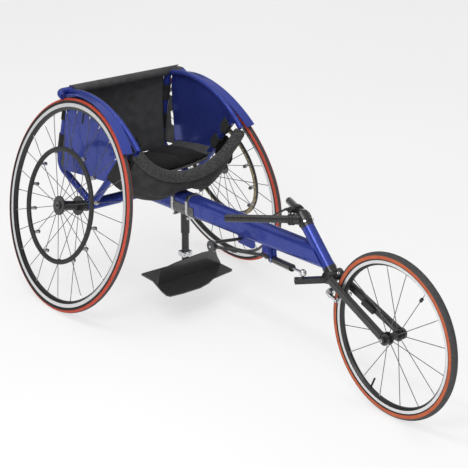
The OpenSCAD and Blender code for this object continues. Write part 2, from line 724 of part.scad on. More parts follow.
module compensator_rod() color([0.75, 0.76, 0.78]) chair() difference() {
    union() {
        rod(comp_at + comp_dir * 80, ball_at - comp_dir * 8, comp_rod_d / 2);
        translate(ball_at) sphere(r = ball_r + ball_play + 3);
    }
    translate(ball_at) sphere(r = ball_r + ball_play);
    translate(ball_at) cylinder(h = 60, r = ball_r - 0.6, center = true);
}

module crown_bar() {
    translate(crown_at) rotate([90, 0, 0])
        cylinder(h = 2 * crown_half + leg_w, r = crown_r, center = true);
}

module leg_right() {
    aim(leg_top, leg_low - leg_top)
        linear_extrude(norm(leg_low - leg_top) - 12) polygon(round_box(leg_h, leg_w, leg_w / 2 - 1));
}

module fork() color([0.05, 0.05, 0.05]) chair() difference() {
    union() {
        head() translate([0, 0, -steerer_top]) cylinder(h = steerer_top + 92, d = steerer_d);
        head() translate([0, 0, head_len / 2 + cup_h + face_gap]) cylinder(h = 12, d = head_d + 1);
        crown_bar();
        both() {
            leg_right();
            translate([wheelbase, -leg_gap / 2, front_r]) rotate([90, 0, 0])
                cylinder(h = 9, r = 16, center = true);
        }
        caliper() translate([0, 0, -15]) cylinder(h = 52, d = 6);
        caliper() translate([0, 0, -15]) cylinder(h = 5.5, d = 12);
    }
    translate(front_at) rotate([90, 0, 0]) cylinder(h = 200, d = 10, center = true);
}

module steering_arm() color([0.05, 0.05, 0.05]) chair() {
    difference() {
        aim(arm_at, arm_dir) translate([-arm_w / 2, -arm_w / 2, 0]) cube([arm_w, arm_w, arm_len]);
        aim(arm_at + arm_dir * 24, arm_dir) translate([2 - arm_w / 2, 2 - arm_w / 2, 0])
            cube([arm_w - 4, arm_w - 4, arm_len]);
        crown_bar();
        head() cylinder(h = 100, d = head_d + 1);
        leg_right();
        caliper() translate([0, 0, -20]) cylinder(h = 60, d = 6);
        caliper() translate([0, 0, -20]) cylinder(h = 10.5, d = 12);
    }
    translate([ball_at[0], ball_at[1], arm_at[2] + arm_w / 2]) cylinder(h = stud_h, d = 6);
    translate(ball_at) sphere(r = ball_r);
}

module stem() color([0.06, 0.06, 0.06]) chair() difference() {
    union() {
        head() translate([0, 0, -steerer_top])
            cylinder(h = steerer_top - head_len / 2 - cup_h - face_gap, d = steerer_d + 10);
        head() translate([0, 0, -steerer_top - 3]) cylinder(h = 3, d = steerer_d + 4);
        both() rod(bar_start, bar_start + bar_dir * 38, bar_d / 2 + 3.5);
    }
    head() translate([0, 0, -steerer_top]) cylinder(h = 200, d = steerer_d);
    both() rod(bar_start + bar_dir * 18, bar_end, bar_d / 2);
}

module handlebar() color([0.06, 0.06, 0.06]) chair() both() difference() {
    rod(bar_start + bar_dir * 18, bar_end, bar_d / 2);
    rod(bar_start + bar_dir * 44, bar_start + bar_dir * 240, bar_d / 2 - 2.5);
}

module brake_perch() color([0.06, 0.06, 0.06]) chair() difference() {
    union() {
        aim(perch_at, bar_dir) cylinder(h = 24, d = bar_d + 9, center = true);
        translate([0, 0, pivot_at[2]]) for (z = [-8.5, 3.5]) translate([0, 0, z]) linear_extrude(5)
            polygon([[perch_at[0] - 9, perch_at[1]], [perch_at[0] + 9, perch_at[1] - 4],
                [pivot_at[0] + 12, pivot_at[1] - 6], [pivot_at[0] + 2, pivot_at[1] - 9],
                [pivot_at[0] - 8, pivot_at[1] - 4], [pivot_at[0] - 8, pivot_at[1] + 6]]);
        translate(pivot_at - [0, 0, 9.5]) cylinder(h = 19, d = 6);
        rod(cable_a - cable_dir * 10, cable_a, 4.5);
    }
    rod(bar_start, bar_end, bar_d / 2);
}

module brake_lever() color([0.08, 0.08, 0.09]) chair() difference() {
    union() {
        translate(pivot_at - [0, 0, 3]) cylinder(h = 6, d = 13);
        flat(pivot_at + [-5, 0, 0], pivot_at + [-20, -2, 0], 5, 12);
        flat(pivot_at + [-18, -2, 0], lever_tip, 5, 12);
    }
    translate(pivot_at - [0, 0, 20]) cylinder(h = 40, d = 6 + 2 * run_gap);
}

module brake_cable() color([0.03, 0.03, 0.03]) chair()
    bent([cable_a, cable_b, [head_x + 28, 42, 332], [head_x + 50.5, 25, 308]], 16, cable_d / 2);

module caliper_half(low) {
    difference() {
        union() {
            translate([0, 0, low]) linear_extrude(7.6) polygon([[-8, 4], [-8, -7], [-2, -22], [14, -27],
                [52, -25], [52, -18], [18, -18], [8, -8], [8, 4]]);
            translate([41, -20, -4]) cube([11, 20 - front_rim_w / 2 - 2.3, 8]);
        }
        translate([0, 0, -50]) cylinder(h = 100, d = 6 + 2 * run_gap);
    }
}

module caliper_right() color([0.70, 0.70, 0.72]) chair() caliper() caliper_half(-8);

module caliper_left() color([0.70, 0.70, 0.72]) chair() caliper() {
    mirror([0, 1, 0]) caliper_half(0.4);
    translate([-17, 24, 0.4]) cylinder(h = 17, d = 8);
    translate([-17, 18, 0.4]) cube([19, 8, 7.6]);
}

module front_axle() color([0.70, 0.71, 0.73]) chair() translate(front_at) rotate([90, 0, 0]) {
    cylinder(h = leg_gap + 26, d = 10, center = true);
    for (side = [-1, 1]) {
        translate([0, 0, side * (leg_gap / 2 + 8)]) cylinder(h = 7, d = 18, center = true);
        translate([0, 0, side * (front_hub_w / 4 + face_gap / 2 + leg_gap / 4 - 2.25)])
            cylinder(h = leg_gap / 2 - 4.5 - front_hub_w / 2 - face_gap, d = 16, center = true);
    }
}

module speed_sensor() color([0.03, 0.03, 0.03]) chair() difference() {
    mirror([0, 1, 0]) aim(leg_top, leg_low - leg_top) translate([5, 9.5, 114])
        linear_extrude(46) polygon(round_box(17, 10, 4));
    mirror([0, 1, 0]) leg_right();
}

module tyre(out, w, seat) {
    difference() {
        rotate_extrude() translate([out - w / 2, 0]) circle(d = w);
        cylinder(h = w + 2, r = seat, center = true);
    }
}

module rim(out, depth, w) {
    rotate_extrude() polygon([[out, w / 2], [out - 0.55 * depth, w / 2], [out - 0.8 * depth, 6.5],
        [out - depth, 3.5], [out - depth, -3.5], [out - 0.8 * depth, -6.5], [out - 0.55 * depth, -w / 2],
        [out, -w / 2]]);
}

module valve(inside) {
    translate([inside - 34, 0, 0]) rotate([0, 90, 0]) cylinder(h = 34, d = 5.5);
}

module spokes(count, from, to, high, low) {
    intersection() {
        for (i = [0 : count - 1]) rotate([0, 0, i * 360 / count])
            rod([from - 4, 0, i % 2 == 0 ? high : low], [to + 3, 0, i % 2 == 0 ? 1.2 : -1.2], spoke_r);
        difference() {
            cylinder(h = 200, r = to, center = true);
            cylinder(h = 202, r = from, center = true);
        }
    }
}

module rear_tyre() {
    wheel() tyre(rear_r, rear_tyre_w, rear_rim_r);
    wheel() intersection() {
        rotate([0, 0, rear_turn]) valve(rear_rim_in);
        cylinder(h = 100, r = rear_rim_in, center = true);
    }
}

module rear_hub() {
    wheel() difference() {
        union() {
            translate([0, 0, -hub_in]) cylinder(h = hub_in + hub_out, r = hub_barrel_r);
            translate([0, 0, hub_out - flange_t - 1]) cylinder(h = flange_t, r = hub_flange_r);
            translate([0, 0, 1 - hub_in]) cylinder(h = flange_t, r = hub_flange_r);
        }
        cylinder(h = 300, r = axle_r + run_gap, center = true);
    }
}

module rear_spoke_set() {
    wheel() rotate([0, 0, rear_turn + 180 / rear_spokes]) spokes(rear_spokes, hub_flange_r, rear_rim_in, hub_out - 1 - flange_t / 2,
        1 + flange_t / 2 - hub_in);
}

module push_rim() {
    high = hub_out - 1 - flange_t / 2;
    at = high - (high - 1.2) * (push_r - hub_flange_r + 4) / (rear_rim_in + 7 - hub_flange_r);
    wheel() rotate([0, 0, rear_turn + 180 / rear_spokes]) difference() {
        union() {
            translate([0, 0, push_out]) rotate_extrude() translate([push_r, 0]) circle(d = push_t);
            for (i = [0 : 2 : rear_spokes - 1]) rotate([0, 0, i * 360 / rear_spokes])
                translate([push_r, 0, at - 4]) cylinder(h = push_out - at + 4, d = 9);
        }
        for (i = [0 : 2 : rear_spokes - 1]) rotate([0, 0, i * 360 / rear_spokes])
            rod([hub_flange_r - 4, 0, high], [rear_rim_in + 3, 0, 1.2], spoke_r);
    }
}

module front() {
    translate(front_at) rotate([90, 0, 0]) children();
}

module front_tyre() color([0.10, 0.10, 0.10]) chair() front() {
    tyre(front_r, front_tyre_w, front_rim_r);
    rotate([0, 0, front_turn]) intersection() {
        valve(front_rim_in);
        cylinder(h = 100, r = front_rim_in, center = true);
    }
}

module front_rim() color([0.70, 0.71, 0.72]) chair() front() rim(front_rim_r, front_rim_d, front_rim_w);

module front_hub() color([0.06, 0.06, 0.06]) chair() front() difference() {
    union() {
        cylinder(h = front_hub_w, r = 11, center = true);
        for (side = [-1, 1]) translate([0, 0, side * (front_hub_w / 2 - 6)])
            cylinder(h = 4, r = front_flange_r, center = true);
    }
    cylinder(h = 100, r = 5 + run_gap, center = true);
}

module front_spoke_set() color([0.60, 0.60, 0.62]) chair() front()
    rotate([0, 0, front_turn + 180 / front_spokes]) spokes(front_spokes, front_flange_r, front_rim_in, front_hub_w / 2 - 6, 6 - front_hub_w / 2);

module rear_tyre_right() color([0.62, 0.12, 0.08]) chair() rear_tyre();

module rear_tyre_left() color([0.62, 0.12, 0.08]) chair() mirror([0, 1, 0]) rear_tyre();

module rear_rim() {
    wheel() rim(rear_rim_r, rear_rim_d, rear_rim_w);
}

module rear_rim_right() color([0.70, 0.71, 0.72]) chair() rear_rim();

module rear_rim_left() color([0.70, 0.71, 0.72]) chair() mirror([0, 1, 0]) rear_rim();

module rear_hub_right() color([0.06, 0.06, 0.06]) chair() rear_hub();

module rear_hub_left() color([0.06, 0.06, 0.06]) chair() mirror([0, 1, 0]) rear_hub();

module rear_spokes_right() color([0.60, 0.60, 0.62]) chair() rear_spoke_set();

module rear_spokes_left() color([0.60, 0.60, 0.62]) chair() mirror([0, 1, 0]) rear_spoke_set();

module push_rim_right() color([0.05, 0.05, 0.05]) chair() push_rim();

module push_rim_left() color([0.05, 0.05, 0.05]) chair() mirror([0, 1, 0]) push_rim();

main_tube();
head_tube();
axle_tube();
rear_uprights();
front_struts();
back_bar();
front_hoop();
mudguard_right();
mudguard_left();
side_panel_right();
side_panel_left();
frame_lugs();
camber_plugs();
headset_cups();
wheel_axles();
button_right();
button_left();
footrest_clamp();
clamp_bands();
footrest_sleeve();
footrest_post();
footplate();
foot_bolts();
back_cloth();
back_laces();
seat_sling();
seat_cushion();
front_pad();
front_apron();
strut_sleeves();
guide_bar();
pivot_pins();
track_lever();
compensator_body();
compensator_rod();
fork();
steering_arm();
stem();
handlebar();
brake_perch();
brake_lever();
brake_cable();
caliper_right();
caliper_left();
front_axle();
speed_sensor();
front_tyre();
front_rim();
front_hub();
front_spoke_set();
rear_tyre_right();
rear_rim_right();
rear_hub_right();
rear_spokes_right();
push_rim_right();
rear_tyre_left();
rear_rim_left();
rear_hub_left();
rear_spokes_left();
push_rim_left();
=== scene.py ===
"""Racing wheelchair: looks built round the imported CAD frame.

Metres, +X forward, +Y to the rider's left, +Z up.
"""
import json
import math

import bmesh
import bpy
from mathutils import Matrix, Vector, noise


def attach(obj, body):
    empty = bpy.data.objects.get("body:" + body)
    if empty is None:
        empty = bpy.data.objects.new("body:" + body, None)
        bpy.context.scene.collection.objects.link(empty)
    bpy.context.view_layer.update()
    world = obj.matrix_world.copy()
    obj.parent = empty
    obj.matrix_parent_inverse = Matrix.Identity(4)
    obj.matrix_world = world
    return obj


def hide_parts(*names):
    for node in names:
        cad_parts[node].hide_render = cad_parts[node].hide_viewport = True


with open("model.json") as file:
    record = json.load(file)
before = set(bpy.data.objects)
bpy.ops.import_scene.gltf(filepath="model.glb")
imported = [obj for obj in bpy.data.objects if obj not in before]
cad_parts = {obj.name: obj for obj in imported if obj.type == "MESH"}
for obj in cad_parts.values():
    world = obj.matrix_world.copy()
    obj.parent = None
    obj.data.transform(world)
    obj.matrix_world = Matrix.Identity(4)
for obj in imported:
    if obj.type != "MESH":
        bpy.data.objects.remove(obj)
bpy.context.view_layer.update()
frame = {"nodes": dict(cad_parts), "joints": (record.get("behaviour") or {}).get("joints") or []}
JOINTS = {j["name"]: j for j in frame["joints"]}
NODES = frame["nodes"]

# Driving sizes of the part's source, in millimetres from the rear axle line
AXLE_X = JOINTS["rear_wheel_right_spin"]["pos_m"][0]
WHEEL_Z = JOINTS["rear_wheel_right_spin"]["pos_m"][2] * 1000
HALF_TRACK = 285.5
CAMBER = math.radians(13)
REAR_R, REAR_RIM_IN = 334, 296.5
FRONT_R, FRONT_RIM_IN = 233, 196.5
REAR_SPOKES, FRONT_SPOKES = 28, 16
REAR_TURN, FRONT_TURN = 89.3, -112.7
PUSH_R, PUSH_T, PUSH_OUT = 175, 15, 32
RAIL_TOP = WHEEL_Z + (REAR_R + 10) * math.cos(CAMBER)
BAR_X, BAR_Z, BAR_R, BAR_DROP = 121, RAIL_TOP - 8, 10.5, 262
AXLE_Z = WHEEL_Z - 63.5 * math.tan(CAMBER)
STRUT_R = 11.5
STRUT_LOW = Vector((0, -195, AXLE_Z))
STRUT_TOP = Vector((228, -178, RAIL_TOP - 86))
UPRIGHT_TOP = Vector((-126, -190, BAR_Z - 3))
UPRIGHT_TURN = Vector((-183, -198.5, AXLE_Z + 81))
PANEL_AT = Vector((-115, -207.5, RAIL_TOP - 141))
PANEL_BACK = 11
LEAN, TOE = math.radians(3.43), math.radians(1.89)
HOOP_X, HOOP_LOW, HOOP_HALF, HOOP_RISE = 250, 434.5, 196, 108
HOOP_R = (HOOP_HALF ** 2 + HOOP_RISE ** 2) / (2 * HOOP_RISE)
HOOP_MID = HOOP_LOW + HOOP_R
PAD_R, PAD_TURN = 17.5, 55.5
SLING_HALF, SLING_LOW, SLING_SAG, SLING_SLOPE = 174.6, AXLE_Z + 82, 25, 0.177
CUSHION_T = 34
HEAD_X, HEAD_Z = 850.6, 391.3
STEM_UP, BAR_REACH, BAR_HALF = 90.6, 206, 118
PRONG_GAP, PRONG_DROP = 10, 32.5
STEM_RISE = STEM_UP * math.sin(math.pi / 4)
STEM_TOP = Vector((HEAD_X - STEM_RISE, 0, HEAD_Z + STEM_RISE))
LEVER_UNDER = 358.4

# Hub flanges: radius of the spoke holes, and their two places along the axle
REAR_FLANGE_R, REAR_FLANGES = 26, (32.5, -37.5)
FRONT_FLANGE_R, FRONT_FLANGES = 14, (17, -17)

# Soft pieces, in millimetres
CLOTH_T, STRIP_T, STRAP_T = 2.4, 2.0, 2.6
WRAP_SHARE = 0.3  # share of the back cloth that lies round the bar
BACK_EDGE = 177.2
SLING_BACK, SLING_LONG = -142, 300
SIDE_BACK, SIDE_LONG, SIDE_RISE = -110, 232, 12
CUSHION_X, CUSHION_HALF = 22, 123
CHANNEL_AT = 0.36  # place of the two sewn channels, as a share of the cushion's half width
WRAP_BEND = 20
EDGE_TOP, EDGE_LONG, SLIT_OPEN = 646, 250, 9
EDGE_SLITS = ((630, 5), (584, 20), (486, 26))  # height of the middle, half length
STRAPS = ((22, 24), (74, 28), (126, 24), (177, 27))  # drop below the bar, half width
LOOP_ABOVE = 24  # straps with a larger half width than this also loop round the upright
FLAP_MIDDLE = Vector((272, -62))
FLAP = [(222, -87), (221.5, -92), (228, -97), (239, -99.5), (266, -107), (293, -112), (306, -103),
        (315, -90), (318, -66), (317, -42), (306, -22), (292, -15), (278, -18), (268.5, -24),
        (246, -52)]

# Camera fitted to the photograph, whose frame is 468 pixels square
CAM_AT = (3.2063, -2.5632, 1.9437)
CAM_AZIMUTH, CAM_ELEVATION, CAM_ROLL = 51.868, 21.477, 0.351
CAM_LENS = 1495.16 / 468 * 36


def at(x, y, z):
    """A point given in millimetres from the rear axle line, in the row frame."""
    return Vector((x / 1000 + AXLE_X, y / 1000, z / 1000))


# Shader helpers

def material(name, rough=0.5, metal=0.0, **sockets):
    """New node material and its shader node; constants go on the shader's own sockets."""
    mat = bpy.data.materials.new(name)
    mat.use_nodes = True
    bsdf = mat.node_tree.nodes["Principled BSDF"]
    bsdf.inputs["Roughness"].default_value = rough
    bsdf.inputs["Metallic"].default_value = metal
    for key, value in sockets.items():
        bsdf.inputs[key.replace("_", " ")].default_value = value
    return mat, bsdf


def add(mat, kind, **values):
    node = mat.node_tree.nodes.new(kind)
    for key, value in values.items():
        setattr(node, key, value)
    return node


def join(mat, out, into):
    mat.node_tree.links.new(out, into)


def coords(mat):
    return add(mat, "ShaderNodeTexCoord").outputs["Object"]


def noise_of(mat, scale, detail=3.0):
    """Height of a noise texture in the object's own coordinates, in metres."""
    node = add(mat, "ShaderNodeTexNoise")
    node.inputs["Scale"].default_value = scale
    node.inputs["Detail"].default_value = detail
    join(mat, coords(mat), node.inputs["Vector"])
    return node.outputs["Fac"]


def ramp(mat, fac, *stops):
    """Colour ramp with (place, colour) stops."""
    node = add(mat, "ShaderNodeValToRGB")
    elements = node.color_ramp.elements
    while len(elements) < len(stops):
        elements.new(0.5)
    for element, (place, colour) in zip(elements, stops):
        element.position = place
        element.color = (*colour, 1) if len(colour) == 3 else colour
    join(mat, fac, node.inputs["Fac"])
    return node.outputs["Color"]


def grey(value):
    return (value, value, value)


def maths(mat, operation, a, b=None):
    node = add(mat, "ShaderNodeMath", operation=operation)
    for i, value in enumerate((a, b)):
        if value is None:
            continue
        if isinstance(value, (int, float)):
            node.inputs[i].default_value = value
        else:
            join(mat, value, node.inputs[i])
    return node.outputs[0]


def mix(mat, fac, a, b):
    """Blend of two colours or sockets by a socket."""
    node = add(mat, "ShaderNodeMix", data_type="RGBA")
    join(mat, fac, node.inputs["Factor"])
    for key, value in ((6, a), (7, b)):
        if isinstance(value, tuple):
            node.inputs[key].default_value = (*value, 1)
        else:
            join(mat, value, node.inputs[key])
    return node.outputs[2]


def bump(mat, bsdf, height, strength, distance=0.001):
    node = add(mat, "ShaderNodeBump")
    node.inputs["Strength"].default_value = strength
    node.inputs["Distance"].default_value = distance
    join(mat, height, node.inputs["Height"])
    join(mat, node.outputs["Normal"], bsdf.inputs["Normal"])


def speckled(name, low, high, scale, rough, metal, relief, depth=0.0002, **sockets):
    """Material with a soft change of colour and roughness and a fine relief."""
    mat, bsdf = material(name, metal=metal, **sockets)
    field = noise_of(mat, scale)
    join(mat, ramp(mat, field, (0.3, low), (0.7, high)), bsdf.inputs["Base Color"])
    join(mat, ramp(mat, noise_of(mat, scale * 2.7), (0.3, grey(rough[0])), (0.7, grey(rough[1]))),
         bsdf.inputs["Roughness"])
    bump(mat, bsdf, noise_of(mat, scale * 6), relief, depth)
    return mat


def along(mat, origin, axis):
    """Signed distance along an axis and distance from it, as sockets, in metres."""
    rel = add(mat, "ShaderNodeVectorMath", operation="SUBTRACT")
    join(mat, coords(mat), rel.inputs[0])
    rel.inputs[1].default_value = origin
    dot = add(mat, "ShaderNodeVectorMath", operation="DOT_PRODUCT")
    join(mat, rel.outputs[0], dot.inputs[0])
    dot.inputs[1].default_value = axis
    axial = dot.outputs["Value"]
    length = add(mat, "ShaderNodeVectorMath", operation="LENGTH")
    join(mat, rel.outputs[0], length.inputs[0])
    square = maths(mat, "SUBTRACT", maths(mat, "POWER", length.outputs["Value"], 2.0),
                   maths(mat, "POWER", maths(mat, "ABSOLUTE", axial), 2.0))
    return axial, maths(mat, "SQRT", square)


def step(mat, value, edge, soft=0.0004):
    """0 below the edge and 1 above it."""
    node = add(mat, "ShaderNodeMapRange", interpolation_type="SMOOTHSTEP")
    join(mat, value, node.inputs["Value"])
    node.inputs["From Min"].default_value = edge - soft
    node.inputs["From Max"].default_value = edge + soft
    return node.outputs["Result"]


# Materials

def blue_paint():
    mat, bsdf = material("blue_paint", metal=0.4, Coat_Weight=0.3, Coat_Roughness=0.03,
                         Specular_IOR_Level=0.12)
    field = noise_of(mat, 9, 5)
    join(mat, ramp(mat, field, (0.3, (0.031, 0.050, 0.275)), (0.7, (0.040, 0.063, 0.34))),
         bsdf.inputs["Base Color"])
    join(mat, ramp(mat, noise_of(mat, 60), (0.3, grey(0.24)), (0.7, grey(0.30))),
         bsdf.inputs["Roughness"])
    bump(mat, bsdf, noise_of(mat, 420, 2), 0.03, 0.0003)
    return mat


def black_metal():
    return speckled("black_metal", grey(0.016), grey(0.026), 45, (0.24, 0.34), 0.0, 0.05,
                    Coat_Weight=0.35, Coat_Roughness=0.08, Specular_IOR_Level=0.3)


def bright_metal():
    return speckled("bright_metal", (0.55, 0.56, 0.58), (0.72, 0.73, 0.74), 90, (0.16, 0.30), 1.0,
                    0.03)


def grey_plate():
    return speckled("grey_plate", grey(0.13), grey(0.19), 160, (0.40, 0.55), 0.8, 0.15)


def spoke_steel():
    return speckled("spoke_steel", grey(0.10), grey(0.16), 70, (0.25, 0.38), 0.9, 0.02, 0.0001)


def black_plastic():
    return speckled("black_plastic", grey(0.010), grey(0.020), 120, (0.38, 0.52), 0.0, 0.10)


def powder_coat():
    return speckled("powder_coat", grey(0.026), grey(0.040), 260, (0.20, 0.30), 0.0, 0.20,
                    Coat_Weight=0.5, Coat_Roughness=0.12)


def fabric(name, low, high, thread=0.0016, relief=0.6):
    """Plain woven cloth: two crossed sets of threads, a slow change of tone and soft sheen."""
    mat, bsdf = material(name, rough=0.9, Sheen_Weight=0.05, Sheen_Roughness=0.5,
                         Specular_IOR_Level=0.12)
    join(mat, ramp(mat, noise_of(mat, 35, 6), (0.3, low), (0.7, high)), bsdf.inputs["Base Color"])
    threads = []
    for turn in ((1, 0.6, 0), (0, 0.6, 1)):
        wave = add(mat, "ShaderNodeTexWave", bands_direction="DIAGONAL")
        scaled = add(mat, "ShaderNodeVectorMath", operation="MULTIPLY")
        join(mat, coords(mat), scaled.inputs[0])
        scaled.inputs[1].default_value = turn
        join(mat, scaled.outputs[0], wave.inputs["Vector"])
        wave.inputs["Scale"].default_value = 0.314 / thread
        wave.inputs["Distortion"].default_value = 0.4
        threads.append(wave.outputs["Fac"])
    weave = maths(mat, "MAXIMUM", *threads)
    bump(mat, bsdf, maths(mat, "ADD", weave, noise_of(mat, 140, 4)), relief, 0.0005)
    return mat


def knitted():
    """Springy knitted cover of the front pad: mottled, with a coarse raised stitch."""
    mat, bsdf = material("knitted_cover", rough=0.95, Sheen_Weight=0.06, Sheen_Roughness=0.6,
                         Specular_IOR_Level=0.1)
    field = noise_of(mat, 240, 5)
    join(mat, ramp(mat, field, (0.35, grey(0.024)), (0.52, grey(0.055)), (0.72, grey(0.105))),
         bsdf.inputs["Base Color"])
    cells = add(mat, "ShaderNodeTexVoronoi")
    cells.inputs["Scale"].default_value = 320
    join(mat, coords(mat), cells.inputs["Vector"])
    bump(mat, bsdf, maths(mat, "ADD", cells.outputs["Distance"], field), 0.7, 0.0011)
    return mat


def wheel_frame(name):
    joint = JOINTS[name]
    return joint["pos_m"], joint["axis"]


def tyre_rubber(name, joint, tread_half, base_r, side_low, side_high):
    """Tyre with a dark tread, coloured sidewalls and a dark base line at the rim."""
    mat, bsdf = material(name, Specular_IOR_Level=0.35)
    axial, radial = along(mat, *wheel_frame(joint))
    grain = noise_of(mat, 55, 5)
    side = ramp(mat, grain, (0.3, side_low), (0.7, side_high))
    tread = ramp(mat, noise_of(mat, 130, 4), (0.3, grey(0.042)), (0.7, grey(0.066)))
    off_tread = step(mat, maths(mat, "ABSOLUTE", axial), tread_half)
    above_base = step(mat, radial, base_r)
    colour = mix(mat, off_tread, tread, side)
    colour = mix(mat, above_base, (0.016, 0.016, 0.016), colour)
    join(mat, colour, bsdf.inputs["Base Color"])
    join(mat, ramp(mat, grain, (0.3, grey(0.62)), (0.7, grey(0.78))), bsdf.inputs["Roughness"])
    ridges = add(mat, "ShaderNodeTexWave", bands_direction="X")
    position = add(mat, "ShaderNodeCombineXYZ")
    join(mat, axial, position.inputs[0])
    join(mat, position.outputs[0], ridges.inputs["Vector"])
    ridges.inputs["Scale"].default_value = 140
    bump(mat, bsdf, maths(mat, "ADD", ridges.outputs["Fac"], noise_of(mat, 600, 2)), 0.35, 0.0004)
    return mat


def rim_metal(name, joint, black_below):
    """Rim with a machined brake track and a black anodised inner wall."""
    mat, bsdf = material(name)
    radial = along(mat, *wheel_frame(joint))[1]
    wall = step(mat, radial, black_below, 0.0005)
    lines = noise_of(mat, 150, 4)
    silver = ramp(mat, lines, (0.3, (0.68, 0.69, 0.70)), (0.7, (0.84, 0.84, 0.85)))
    join(mat, mix(mat, wall, (0.012, 0.012, 0.013), silver), bsdf.inputs["Base Color"])
    join(mat, maths(mat, "MULTIPLY", wall, 0.85), bsdf.inputs["Metallic"])
    join(mat, ramp(mat, lines, (0.3, grey(0.30)), (0.7, grey(0.46))), bsdf.inputs["Roughness"])
    rings = add(mat, "ShaderNodeTexNoise")
    position = add(mat, "ShaderNodeCombineXYZ")
    join(mat, radial, position.inputs[0])
    join(mat, position.outputs[0], rings.inputs["Vector"])
    rings.inputs["Scale"].default_value = 3000
    bump(mat, bsdf, rings.outputs["Fac"], 0.06, 0.0002)
    return mat


def push_rubber(name, joint):
    """Push rim: black grip rubber outside, worn tan adhesive inside, bare metal posts."""
    mat, bsdf = material(name, Specular_IOR_Level=0.4)
    axial, radial = along(mat, *wheel_frame(joint))
    off = maths(mat, "SUBTRACT", axial, PUSH_OUT / 1000)
    out = maths(mat, "SUBTRACT", radial, PUSH_R / 1000)
    squares = [maths(mat, "POWER", maths(mat, "ABSOLUTE", x), 2.0) for x in (off, out)]
    tube = maths(mat, "SQRT", maths(mat, "ADD", *squares))
    patch = noise_of(mat, 170, 5)
    tan = ramp(mat, patch, (0.35, (0.20, 0.15, 0.075)), (0.5, (0.42, 0.34, 0.19)),
               (0.7, (0.50, 0.44, 0.30)))
    black = ramp(mat, noise_of(mat, 220, 4), (0.3, grey(0.016)), (0.7, grey(0.032)))
    lean_in = maths(mat, "SUBTRACT", maths(mat, "MULTIPLY", out, 0.259),
                    maths(mat, "MULTIPLY", off, 0.966))
    ragged = maths(mat, "MULTIPLY", maths(mat, "SUBTRACT", patch, 0.5), 0.004)
    edge = maths(mat, "ADD", lean_in, ragged)
    colour = mix(mat, step(mat, edge, 0.0060, 0.0006), black, tan)
    post = step(mat, tube, PUSH_T / 2000 + 0.0007, 0.0003)
    colour = mix(mat, post, colour, (0.50, 0.50, 0.51))
    join(mat, colour, bsdf.inputs["Base Color"])
    join(mat, maths(mat, "MULTIPLY", post, 0.8), bsdf.inputs["Metallic"])
    join(mat, ramp(mat, patch, (0.3, grey(0.50)), (0.7, grey(0.70))), bsdf.inputs["Roughness"])
    bump(mat, bsdf, noise_of(mat, 500, 3), 0.3, 0.0005)
    return mat


BLUE, BLACK, BRIGHT = blue_paint(), black_metal(), bright_metal()
GREY, STEEL, PLASTIC, POWDER = grey_plate(), spoke_steel(), black_plastic(), powder_coat()
CLOTH = fabric("seat_cloth", grey(0.062), grey(0.090))
APRON = fabric("apron_cloth", grey(0.034), grey(0.052))
CUSHION = fabric("cushion_cover", grey(0.011), grey(0.018), 0.0022)
WEBBING = fabric("strap_webbing", grey(0.022), grey(0.034), 0.0028, 0.8)
KNIT = knitted()
RED_LOW, RED_HIGH = (0.46, 0.055, 0.030), (0.56, 0.080, 0.045)
RUST_LOW, RUST_HIGH = (0.44, 0.090, 0.034), (0.56, 0.130, 0.052)

CAD_LOOKS = {
    BLUE: ["main_tube", "head_tube", "axle_tube", "rear_uprights", "front_struts", "back_bar",
           "front_hoop", "mudguard_right", "mudguard_left", "side_panel_right", "side_panel_left",
           "frame_lugs"],
    BLACK: ["camber_plugs", "headset_cups", "footrest_sleeve", "footrest_post", "guide_bar",
            "track_lever", "compensator_body", "fork", "steering_arm", "stem", "handlebar",
            "rear_hub_right", "rear_hub_left", "front_hub", "front_axle"],
    POWDER: ["footplate"],
    BRIGHT: ["foot_bolts", "clamp_bands", "caliper_right", "caliper_left", "compensator_rod",
             "pivot_pins"],
    GREY: ["footrest_clamp", "wheel_axles"],
    STEEL: ["front_spoke_set", "rear_spokes_right", "rear_spokes_left"],
    PLASTIC: ["brake_perch", "brake_lever", "speed_sensor", "button_right", "button_left"],
}


def wear(obj, mat):
    obj.data.materials.clear()
    obj.data.materials.append(mat)


for look, names in CAD_LOOKS.items():
    for node in names:
        wear(NODES[node], look)
for side in ("right", "left"):
    spin = f"rear_wheel_{side}_spin"
    wear(NODES[f"rear_tyre_{side}"], tyre_rubber(f"rear_tyre_{side}_rubber", spin, 0.0056, 0.3252,
                                                 RED_LOW, RED_HIGH))
    wear(NODES[f"rear_rim_{side}"], rim_metal(f"rear_rim_{side}_metal", spin, 0.3055))
    wear(NODES[f"push_rim_{side}"], push_rubber(f"push_rim_{side}_rubber", spin))
wear(NODES["front_tyre"], tyre_rubber("front_tyre_rubber", "front_wheel_spin", 0.0120, 0.2150,
                                      RUST_LOW, RUST_HIGH))
wear(NODES["front_rim"], rim_metal("front_rim_metal", "front_wheel_spin", 0.2030))


# Mesh helpers

def mesh_piece(name, verts, faces, mat, body):
    mesh = bpy.data.meshes.new(name)
    mesh.from_pydata([tuple(v) for v in verts], [], faces)
    mesh.update()
    for face in mesh.polygons:
        face.use_smooth = True
    obj = bpy.data.objects.new(name, mesh)
    bpy.context.scene.collection.objects.link(obj)
    mesh.materials.append(mat)
    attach(obj, body)
    return obj


def modified(obj, kind, **values):
    mod = obj.modifiers.new(kind.lower(), kind)
    for key, value in values.items():
        setattr(mod, key, value)
    return mod


def bake(obj):
    """Applies the modifiers, so that the mesh is what they make."""
    dg = bpy.context.evaluated_depsgraph_get()
    mesh = bpy.data.meshes.new_from_object(obj.evaluated_get(dg))
    obj.modifiers.clear()
    obj.data = mesh


